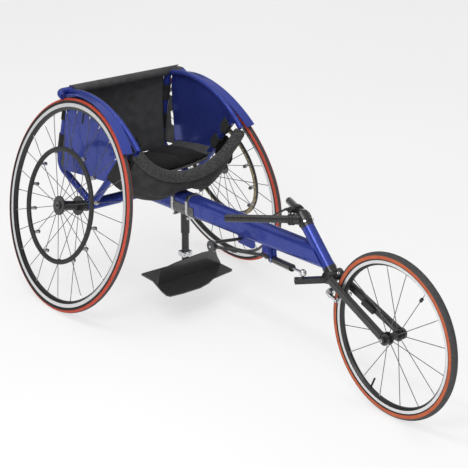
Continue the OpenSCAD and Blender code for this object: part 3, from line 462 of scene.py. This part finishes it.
def grid_piece(name, point, rows, cols, mat, body, thick):
    """Sheet through point(u, v), u from -1 to 1 and v from 0 to 1, with an even thickness."""
    verts = [point(2 * j / cols - 1, i / rows) for i in range(rows + 1) for j in range(cols + 1)]
    w = cols + 1
    faces = [(i * w + j, i * w + j + 1, (i + 1) * w + j + 1, (i + 1) * w + j)
             for i in range(rows) for j in range(cols)]
    obj = mesh_piece(name, verts, faces, mat, body)
    modified(obj, "SOLIDIFY", thickness=thick / 1000, offset=0.0)
    bake(obj)
    return obj


def sweep(points, radius, sides):
    """Vertices and faces of a round closed tube; radius is a number or a function of 0 to 1."""
    verts, faces = [], []
    side = None
    count = len(points)
    for i, p in enumerate(points):
        t = (points[min(i + 1, count - 1)] - points[max(i - 1, 0)]).normalized()
        if side is None:
            side = t.cross(Vector((0, 0, 1)) if abs(t.z) < 0.9 else Vector((1, 0, 0))).normalized()
        side = (side - t * side.dot(t)).normalized()
        up = t.cross(side)
        r = radius(i / (count - 1)) if callable(radius) else radius
        for k in range(sides):
            a = 2 * math.pi * k / sides
            verts.append(p + (side * math.cos(a) + up * math.sin(a)) * r)
    for i in range(count - 1):
        for k in range(sides):
            n = (k + 1) % sides
            faces.append((i * sides + k, i * sides + n, (i + 1) * sides + n, (i + 1) * sides + k))
    faces.append(tuple(reversed(range(sides))))
    faces.append(tuple(range((count - 1) * sides, count * sides)))
    return verts, faces


def lathe(origin, axis, profile, sides):
    """Vertices and faces of a closed profile of (radius, height) points turned about an axis."""
    axis = Vector(axis).normalized()
    across = axis.orthogonal().normalized()
    other = axis.cross(across)
    verts, faces = [], []
    n = len(profile)
    for k in range(sides):
        a = 2 * math.pi * k / sides
        out = across * math.cos(a) + other * math.sin(a)
        verts += [Vector(origin) + out * r + axis * h for r, h in profile]
    for k in range(sides):
        m = (k + 1) % sides
        for i in range(n):
            j = (i + 1) % n
            faces.append((k * n + i, m * n + i, m * n + j, k * n + j))
    return verts, faces


class Heap:
    """Gathers several small shapes into one mesh."""

    def __init__(self):
        self.verts, self.faces = [], []

    def put(self, shape):
        base = len(self.verts)
        self.verts += shape[0]
        self.faces += [tuple(base + i for i in f) for f in shape[1]]

    def piece(self, name, mat, body):
        obj = mesh_piece(name, self.verts, self.faces, mat, body)
        clean(obj)
        obj.data.set_sharp_from_angle(angle=math.radians(35))
        return obj


def clean(obj):
    """Merges doubled points and turns every face outward."""
    work = bmesh.new()
    work.from_mesh(obj.data)
    bmesh.ops.remove_doubles(work, verts=work.verts, dist=1e-6)
    bmesh.ops.recalc_face_normals(work, faces=work.faces)
    work.to_mesh(obj.data)
    work.free()


def puff(obj, pressure, cap, frames=20):
    """Swells a closed soft piece by a short cloth simulation, no point further than the cap."""
    scene = bpy.context.scene
    rest = [v.co.copy() for v in obj.data.vertices]
    mod = modified(obj, "CLOTH")
    cloth = mod.settings
    cloth.quality = 5
    cloth.mass = 0.3
    cloth.tension_stiffness = cloth.compression_stiffness = 12
    cloth.bending_stiffness = 2.0
    cloth.use_pressure = True
    cloth.uniform_pressure_force = pressure
    cloth.effector_weights.gravity = 0
    mod.point_cache.frame_start, mod.point_cache.frame_end = 1, frames
    for number in range(1, frames + 1):
        scene.frame_set(number)
    dg = bpy.context.evaluated_depsgraph_get()
    moved = [v.co.copy() for v in obj.evaluated_get(dg).data.vertices]
    obj.modifiers.remove(mod)
    scene.frame_set(1)
    for vertex, old, new in zip(obj.data.vertices, rest, moved):
        step_out = new - old
        if step_out.length > cap:
            step_out *= cap / step_out.length
        vertex.co = old + step_out


# Seat cloth

def wrinkle(p, size, high):
    """Height of soft folds at a point, in millimetres."""
    return high * noise.noise(Vector(p) / size)


def back_point(u, v):
    """Back cloth: over the bar and down behind the rider."""
    e = BAR_R + 2.4
    turn = math.radians(min(v / WRAP_SHARE, 1) * 250 - 70)
    w = max(v - WRAP_SHARE, 0) / (1 - WRAP_SHARE)
    past_top = min(180, max(0, (math.degrees(turn) - 40) * 1.5))
    lift = max(0.0, math.sin(math.radians(past_top)))
    y = u * (HALF_TRACK - 106 + (50 if u > 0 else 10) * lift)
    if v <= WRAP_SHARE:
        return at(-BAR_X + e * math.cos(turn), y, BAR_Z + e * math.sin(turn))
    z = BAR_Z - BAR_DROP * w
    fold = wrinkle((y, 2.6 * z, 7), 62, 3.2) * min(1, 4 * w) * (1 - u ** 6)
    belly = (8 + 22 * (1 - u * u)) * math.sin(math.pi * w ** 0.8)
    return at(-BAR_X - e - belly + fold, y, z)


seat_back = grid_piece("seat_back", back_point, 90, 60, CLOTH, "frame", CLOTH_T)
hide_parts("back_cloth")


def bar_wrap():
    """Wrapping of the back bar's left end, round its bend."""
    points = [at(-BAR_X, HALF_TRACK - 112 + 5.5 * i, BAR_Z) for i in range(7)]
    for i in range(11):
        turn = math.radians(180 - 75 * i / 10)
        points.append(at(-BAR_X + WRAP_BEND + WRAP_BEND * math.cos(turn),
                         HALF_TRACK - 73.5 + WRAP_BEND * math.sin(turn), BAR_Z - 0.5 * i))
    obj = mesh_piece("bar_wrap", *sweep(points, (BAR_R + 2.2) / 1000, 24), CLOTH, "frame")
    clean(obj)


bar_wrap()


def sling_edge(x):
    """Half width of the sling, narrower ahead of the struts."""
    return SLING_HALF - 0.25 * max(0.0, x - 30)


def sling_z(x, y):
    return SLING_LOW + SLING_SAG * (abs(y) / SLING_HALF) ** 2.2 + SLING_SLOPE * x


def sling_point(u, v):
    x = SLING_BACK + SLING_LONG * v
    y = sling_edge(x) * u
    return at(x, y, sling_z(x, y) + wrinkle((x, y, 3), 70, 0.8))


seat_sling = grid_piece("seat_sling_cloth", sling_point, 50, 60, CLOTH, "frame", CLOTH_T)
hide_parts("seat_sling")


def seat_side(side):
    """Cloth from the sling's edge out to a side panel."""
    def point(u, v):
        x = SIDE_BACK + SIDE_LONG * v
        z = sling_z(x, sling_edge(x)) + 2
        leaning = (z + SIDE_RISE - PANEL_AT.z) * math.tan(LEAN)
        rim = PANEL_AT.y + leaning + (x - PANEL_AT.x) * math.tan(TOE) + 2.5
        t = (u + 1) / 2
        inner = sling_edge(x) - 2
        return at(x, side * (inner + (-rim - inner) * t), z + SIDE_RISE * t * t)

    return point


for name, side in (("right", -1), ("left", 1)):
    side_cloth = grid_piece(f"seat_side_{name}", seat_side(side), 40, 12, CLOTH, "frame", STRIP_T)


def apron_point(u, v):
    """Front cloth: from the pad down and back under the legs, with two main folds."""
    low = 1 - math.exp(-(abs(u) / 0.32) ** 3)
    f = math.radians(u * (PAD_TURN - 2))
    e = HOOP_R + PAD_R + 1.8
    a = Vector((HOOP_X, e * math.sin(f), HOOP_MID - e * math.cos(f)))
    b = Vector((HOOP_X + 8 - 62 * u ** 4, 196 * u, a.z - 40 - 8 * low - 12 * abs(u)))
    c = Vector((HOOP_X - 26 - 86 * u * u, 192 * u, AXLE_Z + 72 - 59 * low + 66 * u ** 6))
    d = Vector((112, 160 * u, AXLE_Z + 70 - 18 * low + 30 * u ** 6))
    k = 1 - v
    p = a * k ** 3 + b * 3 * k * k * v + c * 3 * k * v * v + d * v ** 3
    hang = math.sin(math.pi * min(1, v * 1.15)) * (1 - u ** 8)
    curve = 0.06 * math.cos(2.2 * u)
    crease = sum(math.exp(-((v - middle + curve) / 0.045) ** 2) for middle in (0.30, 0.47))
    p.x += hang * (wrinkle((p.y, 2 * p.z, 5), 55, 3.0) - 4.0 * crease)
    return at(*p)


front_apron = grid_piece("front_apron_cloth", apron_point, 60, 90, APRON, "frame", CLOTH_T)
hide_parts("front_apron")


def cushion_height(u, v):
    """Thickness of the cushion: crowned, with lowered front corners and two channels."""
    edge = (1 - abs(u) ** 5) ** 0.6 * (1 - abs(v) ** 5) ** 0.6
    corner = 1 - 0.7 * abs(u) ** 3 * max(0.0, v)
    channel = math.exp(-((abs(u) - CHANNEL_AT) / 0.07) ** 2)
    return CUSHION_T * edge * corner * (1 - 0.16 * channel)


def make_cushion():
    """Crowned cushion on the sling, swelled by a cloth simulation, then sewn along two channels."""
    rows, cols, half = 36, 56, SLING_HALF - 12
    top, low = [], []
    for i in range(rows + 1):
        v = math.sin(math.pi / 2 * (2 * i / rows - 1))
        for j in range(cols + 1):
            u = math.sin(math.pi / 2 * (2 * j / cols - 1))
            x, y = CUSHION_X + CUSHION_HALF * v, half * 0.98 * u
            base = sling_z(x, y) + 2.2
            low.append(at(x, y, base))
            top.append(at(x, y, base + 1.5 + 0.92 * cushion_height(u, v)))
    w, k = cols + 1, len(top)
    faces = []
    for i in range(rows):
        for j in range(cols):
            q = (i * w + j, i * w + j + 1, (i + 1) * w + j + 1, (i + 1) * w + j)
            faces += [q, tuple(k + n for n in reversed(q))]
    border = list(range(w)) + [i * w + cols for i in range(1, rows + 1)]
    border += [rows * w + j for j in range(cols - 1, -1, -1)]
    border += [i * w for i in range(rows - 1, 0, -1)]
    for a, b in zip(border, border[1:] + border[:1]):
        faces.append((b, a, k + a, k + b))
    obj = mesh_piece("seat_cushion_pad", top + low, faces, CUSHION, "frame")
    modified(obj, "REMESH", mode="VOXEL", voxel_size=0.0055)
    bake(obj)
    puff(obj, 4.0, 0.004)
    for vertex in obj.data.vertices:
        x, y = (vertex.co.x - AXLE_X) * 1000, vertex.co.y * 1000
        floor = (sling_z(x, y) + 1.9) / 1000
        channel = math.exp(-((abs(y) / half - CHANNEL_AT) / 0.03) ** 2)
        if vertex.co.z > floor + 0.012:
            vertex.co.z -= 0.003 * channel
        vertex.co.z = max(vertex.co.z, floor)
    for face in obj.data.polygons:
        face.use_smooth = True
    obj.data.materials.clear()
    obj.data.materials.append(CUSHION)
    return obj


cushion = make_cushion()
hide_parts("seat_cushion")


def hoop_point(turn):
    """A point on the middle line of the front hoop, in degrees from its lowest point."""
    a = math.radians(turn)
    return at(HOOP_X, HOOP_R * math.sin(a), HOOP_MID - HOOP_R * math.cos(a))


def make_pad():
    """Foam roll in a knitted cover round the front hoop, drawn in at its two ends."""
    count = 110
    points = [hoop_point((PAD_TURN + 2) * (2 * i / count - 1)) for i in range(count + 1)]

    def radius(t):
        end = min(t, 1 - t) * count
        lump = 0.35 * noise.noise(Vector((t * 26, 1.7, 0)))
        return (PAD_R + 1.0 + lump) / 1000 * min(1.0, 0.80 + 0.10 * end)

    obj = mesh_piece("front_pad_roll", *sweep(points, radius, 28), KNIT, "frame")
    clean(obj)
    puff(obj, 3.0, 0.0009, 12)
    return obj


pad = make_pad()
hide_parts("front_pad")


def band(middle, direction, inner, half):
    """Shape of a sewn strap round a tube, with rolled edges."""
    r, t, h = inner / 1000, STRAP_T / 1000, half / 1000
    profile = [(r, -h), (r + 0.6 * t, -h), (r + t, -h + 0.5 * t), (r + 0.8 * t, -h + 1.4 * t),
               (r + 0.8 * t, h - 1.4 * t), (r + t, h - 0.5 * t), (r + 0.6 * t, h), (r, h)]
    return lathe(at(*middle), direction, profile, 40)


BOX_FACES = [(3, 2, 1, 0), (4, 5, 6, 7), (0, 1, 5, 4), (1, 2, 6, 5), (2, 3, 7, 6), (3, 0, 4, 7)]


def slab(p, q, wide):
    """Flat strap between two points, standing upright."""
    p, q = at(*p), at(*q)
    d = (q - p).normalized()
    up = (Vector((0, 0, 1)) - d * d.z).normalized()
    out = d.cross(up)
    verts = [c + up * (s * wide / 2000) + out * (o * STRAP_T / 2000)
             for c in (p, q) for s, o in ((-1, -1), (1, -1), (1, 1), (-1, 1))]
    return verts, BOX_FACES


def mirrored(shape):
    """The same shape on the other side of the chair."""
    verts, faces = shape
    return [Vector((v.x, -v.y, v.z)) for v in verts], [tuple(reversed(f)) for f in faces]


def upright_point(z):
    """Place of the right upright's middle line at a height."""
    t = (UPRIGHT_TOP.z - z) / (UPRIGHT_TOP.z - UPRIGHT_TURN.z)
    return UPRIGHT_TOP + (UPRIGHT_TURN - UPRIGHT_TOP) * t


def panel_edge(z):
    """Place of the right side panel's rear edge at a height."""
    y = PANEL_AT.y + (z - PANEL_AT.z) * math.tan(LEAN) - 1.2
    return Vector((PANEL_AT.x - PANEL_BACK - 0.8, y, z))


def make_straps():
    """Straps from the back cloth to both uprights."""
    heap = Heap()
    d = (UPRIGHT_TURN - UPRIGHT_TOP).normalized()
    for drop, half in STRAPS:
        c = upright_point(BAR_Z - drop)
        belly = 7 * math.sin(math.pi * (drop / BAR_DROP) ** 0.8)
        edge = Vector((-BAR_X - 13 - belly, -BACK_EDGE, BAR_Z - drop))
        shapes = [slab(edge, c + (edge - c).normalized() * (STRUT_R + 1), 2 * half)]
        if half > LOOP_ABOVE:
            shapes.append(band(c, d, STRUT_R + 0.3, half))
        for shape in shapes:
            heap.put(shape)
            heap.put(mirrored(shape))
    obj = heap.piece("seat_straps", WEBBING, "frame")
    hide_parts("back_laces")


make_straps()


def lacing_edge(side):
    """Cloth from each upright to its side panel, open in three narrow slits."""
    def opening(z):
        return sum(SLIT_OPEN * max(0.0, 1 - ((z - middle) / half) ** 16)
                   for middle, half in EDGE_SLITS if abs(z - middle) < half)

    def point(u, v):
        z = EDGE_TOP - EDGE_LONG * v
        c, rim = upright_point(z), panel_edge(z)
        across = rim - c
        length = across.length
        reach = STRUT_R + 1 + (u + 1) / 2 * max(0.6, length - STRUT_R - 1 - opening(z))
        p = c + across / length * reach
        return at(p.x, side * -p.y, p.z)

    return point


for name, side in (("right", -1), ("left", 1)):
    edge_cloth = grid_piece(f"seat_edge_{name}", lacing_edge(side), 120, 6, CLOTH, "frame",
                            STRIP_T)


def panel_point(x, y, out):
    """A point in the right side panel's own plane, in millimetres from the rear axle line."""
    upright = Matrix.Rotation(math.pi / 2, 3, "X")
    turn = Matrix.Rotation(TOE, 3, "Z") @ Matrix.Rotation(-LEAN, 3, "X") @ upright
    return PANEL_AT + turn @ Vector((x, y, out))


def patch(middle, direction):
    """Flat square of webbing on the inner side of a strut."""
    half, wide, thick = 20, 16, 3.2
    out = (Vector((0, 1, 0)) - direction * direction.y).normalized()
    e = direction.cross(out)
    middle = middle + out * (STRUT_R + 2.6)
    verts = [at(*(middle + direction * (a * half) + e * (b * wide) + out * (c * thick / 2)))
             for a in (-1, 1) for b, c in ((-1, -1), (1, -1), (1, 1), (-1, 1))]
    return verts, BOX_FACES


def side_flap():
    """Cloth flap beside the right side panel, with rounded-off edges."""
    n = len(FLAP)
    verts, faces = [], []
    for out, shrink in ((-1, 0.97), (0.2, 1.0), (1.8, 1.0), (3, 0.97)):
        verts += [at(*panel_point(*(FLAP_MIDDLE + (Vector(p) - FLAP_MIDDLE) * shrink), out))
                  for p in FLAP]
    for layer in range(3):
        for i in range(n):
            k = (i + 1) % n
            faces.append((layer * n + i, layer * n + k, (layer + 1) * n + k, (layer + 1) * n + i))
    faces += [tuple(reversed(range(n))), tuple(range(3 * n, 4 * n))]
    return verts, faces


def make_wraps():
    """Straps round the front struts and the cloth flap beside each side panel."""
    heap = Heap()
    d = (STRUT_TOP - STRUT_LOW).normalized()
    link = [at(*panel_point(262, -38, out)) for out in (-7.6, -0.5)]
    for shape in (band(STRUT_LOW + d * 230, d, STRUT_R + 0.3, 26),
                  band(STRUT_LOW + d * 306.5, d, STRUT_R + 0.3, 19.5),
                  patch(STRUT_LOW + d * 234, d), patch(STRUT_LOW + d * 322, d),
                  side_flap(), sweep(link, 0.0075, 20)):
        heap.put(shape)
        heap.put(mirrored(shape))
    obj = heap.piece("strut_wraps", WEBBING, "frame")
    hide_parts("strut_sleeves")


make_wraps()


# Brake cable, on the route of its solid

def prong_ends(side):
    """Front and rear end of a handlebar prong; side is 1 on the rider's left."""
    return (Vector((STEM_TOP.x, PRONG_GAP * side, STEM_TOP.z)),
            Vector((STEM_TOP.x - BAR_REACH + 3, BAR_HALF * side, STEM_TOP.z - PRONG_DROP)))


def make_cable():
    """Points along the cable: straight runs with round bends between them."""
    start, end = prong_ends(1)
    perch = start + (end - start).normalized() * 103
    pivot = perch + Vector((-11.4, -21.1, 0))
    route = [pivot + Vector((20, 2, -6)), Vector((HEAD_X - 104, 42, HEAD_Z + 32.7)),
             Vector((HEAD_X + 28, 42, 332)), Vector((HEAD_X + 50.5, 25, 308))]
    bend, points = 16.0, [route[0]]
    for p, q, r in zip(route, route[1:], route[2:]):
        a, b = (q - p).normalized(), (r - q).normalized()
        turn = a.angle(b)
        centre = q + (b - a).normalized() * bend / math.cos(turn / 2)
        first = q - a * bend * math.tan(turn / 2) - centre
        normal = a.cross(b).normalized()
        points += [centre + Matrix.Rotation(turn * k / 8, 3, normal) @ first for k in range(9)]
    points.append(route[-1])
    return [at(*p) for p in points]


CABLE = make_cable()
cable = mesh_piece("brake_cable_housing", *sweep(CABLE, 0.0025, 14), PLASTIC, "fork")
clean(cable)
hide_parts("brake_cable")


# Wheel details

def wheel_point(joint, radius, turn, out, flip=1):
    """A point of a rear wheel: radius and height along the axle in millimetres, turn in degrees
    from straight ahead."""
    origin, axis = Vector(JOINTS[joint]["pos_m"]), Vector(JOINTS[joint]["axis"])
    ahead = Vector((1, 0, 0))
    up = axis.cross(ahead) * flip
    a = math.radians(turn)
    along_rim = ahead * math.cos(a) + up * math.sin(a)
    return origin + along_rim * (radius / 1000) + axis * (out / 1000)


def front_wheel_point(radius, turn, out):
    """A point of the front wheel; turn in degrees upward from straight ahead, out to the right."""
    a = math.radians(turn)
    return Vector(JOINTS["front_wheel_spin"]["pos_m"]) + Vector(
        (radius * math.cos(a), -out, radius * math.sin(a))) / 1000


def spoke_ends(count, first, low_r, low_out, high_r):
    """Turn of each spoke, and radius and height of its two ends."""
    for i in range(count):
        turn = first + i * 360 / count
        yield turn, (low_r, low_out[i % 2]), (high_r + 3, 1.2 if i % 2 == 0 else -1.2)


def rear_spokes():
    return spoke_ends(REAR_SPOKES, REAR_TURN + 180 / REAR_SPOKES, REAR_FLANGE_R, REAR_FLANGES,
                      REAR_RIM_IN)


def front_spokes():
    return spoke_ends(FRONT_SPOKES, FRONT_TURN + 180 / FRONT_SPOKES, FRONT_FLANGE_R,
                      FRONT_FLANGES, FRONT_RIM_IN)


def height_at(low, high, radius):
    """Height of a spoke at a radius, from its two ends."""
    return low[1] + (high[1] - low[1]) * (radius - low[0]) / (high[0] - low[0])


def nipples(name, spokes, place, rim_in, body):
    """Spoke nipples inside a rim; place turns a radius, turn and height into a point."""
    heap = Heap()
    profile = [(rim_in - 11, 0.9), (rim_in - 10.6, 1.55), (rim_in - 1.5, 1.9), (rim_in + 0.6, 1.9)]
    for turn, low, high in spokes:
        points = [place(r, turn, height_at(low, high, r)) for r, _ in profile]
        heap.put(sweep(points, lambda t: profile[round(t * 3)][1] / 1000, 8))
    heap.piece(name, BRIGHT, body)


def push_clips(side, flip):
    """Knob and washer on each spoke that carries the push rim."""
    joint, body = f"rear_wheel_{side}_spin", f"rear_wheel_{side}"
    axis = Vector(JOINTS[joint]["axis"])
    knobs, washers = Heap(), Heap()
    dome = [(0.0002, -0.0125), (0.0030, -0.0122), (0.0052, -0.0105), (0.0058, -0.0080),
            (0.0054, -0.0042), (0.0002, -0.0042)]
    ring = [(0.0046, -0.0042), (0.0062, -0.0042), (0.0064, -0.0034), (0.0062, 0.0010),
            (0.0046, 0.0010)]
    for turn, low, high in rear_spokes():
        if low[1] < 0:
            continue
        middle = wheel_point(joint, PUSH_R, turn, height_at(low, high, PUSH_R), flip)
        knobs.put(lathe(middle, axis, dome, 14))
        washers.put(lathe(middle, axis, ring, 14))
    knobs.piece(f"push_clip_knobs_{side}", GREY, body)
    washers.piece(f"push_clip_washers_{side}", BRIGHT, body)


for side, flip in (("right", 1), ("left", -1)):
    nipples(f"rear_nipples_{side}", rear_spokes(),
            lambda r, turn, out: wheel_point(f"rear_wheel_{side}_spin", r, turn, out, flip),
            REAR_RIM_IN, f"rear_wheel_{side}")
    push_clips(side, flip)
nipples("front_nipples", front_spokes(), front_wheel_point, FRONT_RIM_IN, "front_wheel")


# Small fittings

def bolt(place, axis, r, h):
    """Socket-head bolt; radius and height in millimetres."""
    r, h = r / 1000, h / 1000
    profile = [(0.0001, 0), (r, 0), (r, 0.8 * h), (0.85 * r, h), (0.5 * r, h), (0.45 * r, 0.5 * h),
               (0.0001, 0.5 * h)]
    return lathe(at(*place), axis, profile, 18)


def collar(place, axis, inner, outer, length):
    """Plain ring round an axis, in millimetres."""
    inner, outer, half = inner / 1000, outer / 1000, length / 2000
    edge = 0.25 * (outer - inner)
    profile = [(inner, -half), (outer - edge, -half), (outer, -half + edge), (outer, half - edge),
               (outer - edge, half), (inner, half)]
    return lathe(at(*place), axis, profile, 32)


def fittings(name, shapes, mat, body):
    """One piece made of several small shapes."""
    heap = Heap()
    for shape in shapes:
        heap.put(shape)
    heap.piece(name, mat, body)


def stem_fittings():
    """Bolts and collars of the stem and the handlebar prongs, and the cable's barrel."""
    up = Vector((-1, 0, 1)).normalized()
    front = Vector((1, 0, 1)).normalized()
    clamp = STEM_TOP + up * -13
    bright = [bolt(STEM_TOP + up * 19.2, up, 6, 3)]
    black = [collar(clamp, up, 19.4, 21.6, 7)]
    for side in (-1, 1):
        start, end = prong_ends(side)
        d = (end - start).normalized()
        over = (Vector((0, 0, 1)) - d * d.z).normalized()
        for reach in (24, 34):
            black.append(collar(start + d * reach, d, 14.7, 16.8, 6))
            bright.append(bolt(start + d * reach + over * 16.5, over, 3, 3.2))
        out = (front + Vector((0, 0.9 * side, 0))).normalized()
        bright.append(bolt(clamp + out * 21.4, out, 3.4, 3.4))
    crown = Vector((HEAD_X + 65.2, 6, HEAD_Z - 65.2))
    nose = Vector((0.8, 0, 0.6))
    bright.append(bolt(crown + nose * 16.8, nose, 5, 3.6))
    first = (CABLE[1] - CABLE[0]).normalized()
    barrel = [(0.0027, 0.0), (0.0042, 0.0), (0.0042, 0.009), (0.0034, 0.012), (0.0027, 0.012)]
    bright.append(lathe(CABLE[0], first, barrel, 16))
    fittings("stem_bolts", bright, BRIGHT, "fork")
    fittings("stem_collars", black, PLASTIC, "fork")


def lever_fittings():
    """Ring and bolt on the track lever's round end."""
    disc = Vector((HEAD_X - 370.6, -95, LEVER_UNDER - 62.4))
    near = Vector((0, -1, 0))
    fittings("lever_ring", [collar(disc, near, 9.5, 12, 2)], GREY, "track_lever")
    fittings("lever_bolt", [bolt(disc, near, 4.6, 3.4)], BRIGHT, "track_lever")


def caliper_fittings():
    """Pad bolts and their washers on both brake arms."""
    turn = Matrix.Rotation(math.radians(12), 3, "Y")
    middle = Vector((HEAD_X + 62.9, 0, FRONT_R + 52.4))
    for side, name in ((-1, "right"), (1, "left")):
        z = (-8 if side < 0 else 0.4) + 3.8
        pad, pivot, washer = (middle + turn @ Vector((x, side * y, z))
                              for x, y in ((46.5, 25.4), (20, 26.6), (46.5, 25.9)))
        out = turn @ Vector((0, side, 0))
        fittings(f"brake_bolts_{name}", [bolt(pad, out, 4.2, 4), bolt(pivot, out, 3.2, 3)], BRIGHT,
                 f"caliper_{name}")
        fittings(f"brake_washers_{name}", [collar(washer, out, 4.4, 6, 1.4)], PLASTIC,
                 f"caliper_{name}")


def wheel_fittings():
    """Spoke magnet and axle nuts of the front wheel."""
    turn, low, high = list(front_spokes())[7]
    points = [front_wheel_point(r, turn, height_at(low, high, r)) for r in (160, 161, 171, 172)]
    barrel = (0.0038, 0.0048, 0.0048, 0.0038)
    magnet = mesh_piece("spoke_magnet", *sweep(points, lambda t: barrel[round(t * 3)], 14), PLASTIC,
                        "front_wheel")
    clean(magnet)
    nuts = [bolt((HEAD_X + 309.4, side * 43.4, FRONT_R), Vector((0, side, 0)), 5.2, 3)
            for side in (-1, 1)]
    fittings("axle_nuts", nuts, BRIGHT, "fork")


stem_fittings()
lever_fittings()
caliper_fittings()
wheel_fittings()


# Camera, floor and light

def make_camera():
    a, e, r = (math.radians(x) for x in (CAM_AZIMUTH, CAM_ELEVATION, CAM_ROLL))
    back = Vector((math.sin(a) * math.cos(e), -math.cos(a) * math.cos(e), math.sin(e)))
    right = Vector((math.cos(a), math.sin(a), 0))
    up = back.cross(right)
    x, y = math.cos(r) * right + math.sin(r) * up, -math.sin(r) * right + math.cos(r) * up
    data = bpy.data.cameras.new("camera")
    data.lens, data.sensor_width = CAM_LENS, 36
    data.clip_end = 100
    cam = bpy.data.objects.new("camera", data)
    cam.matrix_world = Matrix((x, y, back)).transposed().to_4x4()
    cam.location = CAM_AT
    bpy.context.scene.collection.objects.link(cam)
    bpy.context.scene.camera = cam


def area_light(name, place, target, size, power):
    data = bpy.data.lights.new(name, "AREA")
    data.shape, data.size, data.size_y, data.energy = "RECTANGLE", size[0], size[1], power
    lamp = bpy.data.objects.new(name, data)
    lamp.location = place
    lamp.rotation_mode = "QUATERNION"
    lamp.rotation_quaternion = (Vector(target) - Vector(place)).to_track_quat("-Z", "Y")
    bpy.context.scene.collection.objects.link(lamp)


def make_floor():
    """Plain pale floor, lit partly from itself as a bright studio sweep."""
    mat, bsdf = material("studio_floor", rough=0.9, Specular_IOR_Level=0.1, Emission_Strength=0.63)
    join(mat, ramp(mat, noise_of(mat, 0.6, 2), (0.3, grey(0.36)), (0.7, grey(0.38))),
         bsdf.inputs["Base Color"])
    bsdf.inputs["Emission Color"].default_value = (1, 1, 1, 1)
    half = 30
    corners = [(-half, -half, 0), (half, -half, 0), (half, half, 0), (-half, half, 0)]
    mesh = bpy.data.meshes.new("studio_floor")
    mesh.from_pydata(corners, [], [(0, 1, 2, 3)])
    mesh.materials.append(mat)
    floor = bpy.data.objects.new("studio_floor", mesh)
    bpy.context.scene.collection.objects.link(floor)


def make_world():
    """Soft studio surroundings: a pale band at the horizon, then dark, and brighter overhead."""
    world = bpy.data.worlds.new("studio")
    world.use_nodes = True
    split = add(world, "ShaderNodeSeparateXYZ")
    join(world, add(world, "ShaderNodeTexCoord").outputs["Generated"], split.inputs[0])
    tone = ramp(world, split.outputs["Z"], (0.0, grey(0.80)), (0.10, grey(0.80)),
                (0.16, grey(0.12)), (0.9, grey(0.38)))
    join(world, tone, world.node_tree.nodes["Background"].inputs["Color"])
    bpy.context.scene.world = world
    bpy.context.scene.view_settings.view_transform = "Standard"


make_camera()
make_floor()
make_world()
area_light("overhead", (-1.8, 1.5, 6.0), (-1.8, 1.5, 0), (12.0, 12.0), 225)
area_light("front_fill", (3.6, -2.6, 1.25), (0, 0, 0.5), (2.2, 2.2), 22)
area_light("softbox", (0.1, -1.0, 2.6), (0, 0, 0.5), (2.8, 0.10), 14)
area_light("key", (1.6, -3.0, 3.0), (-0.3, 0, 0.5), (1.6, 1.6), 56)
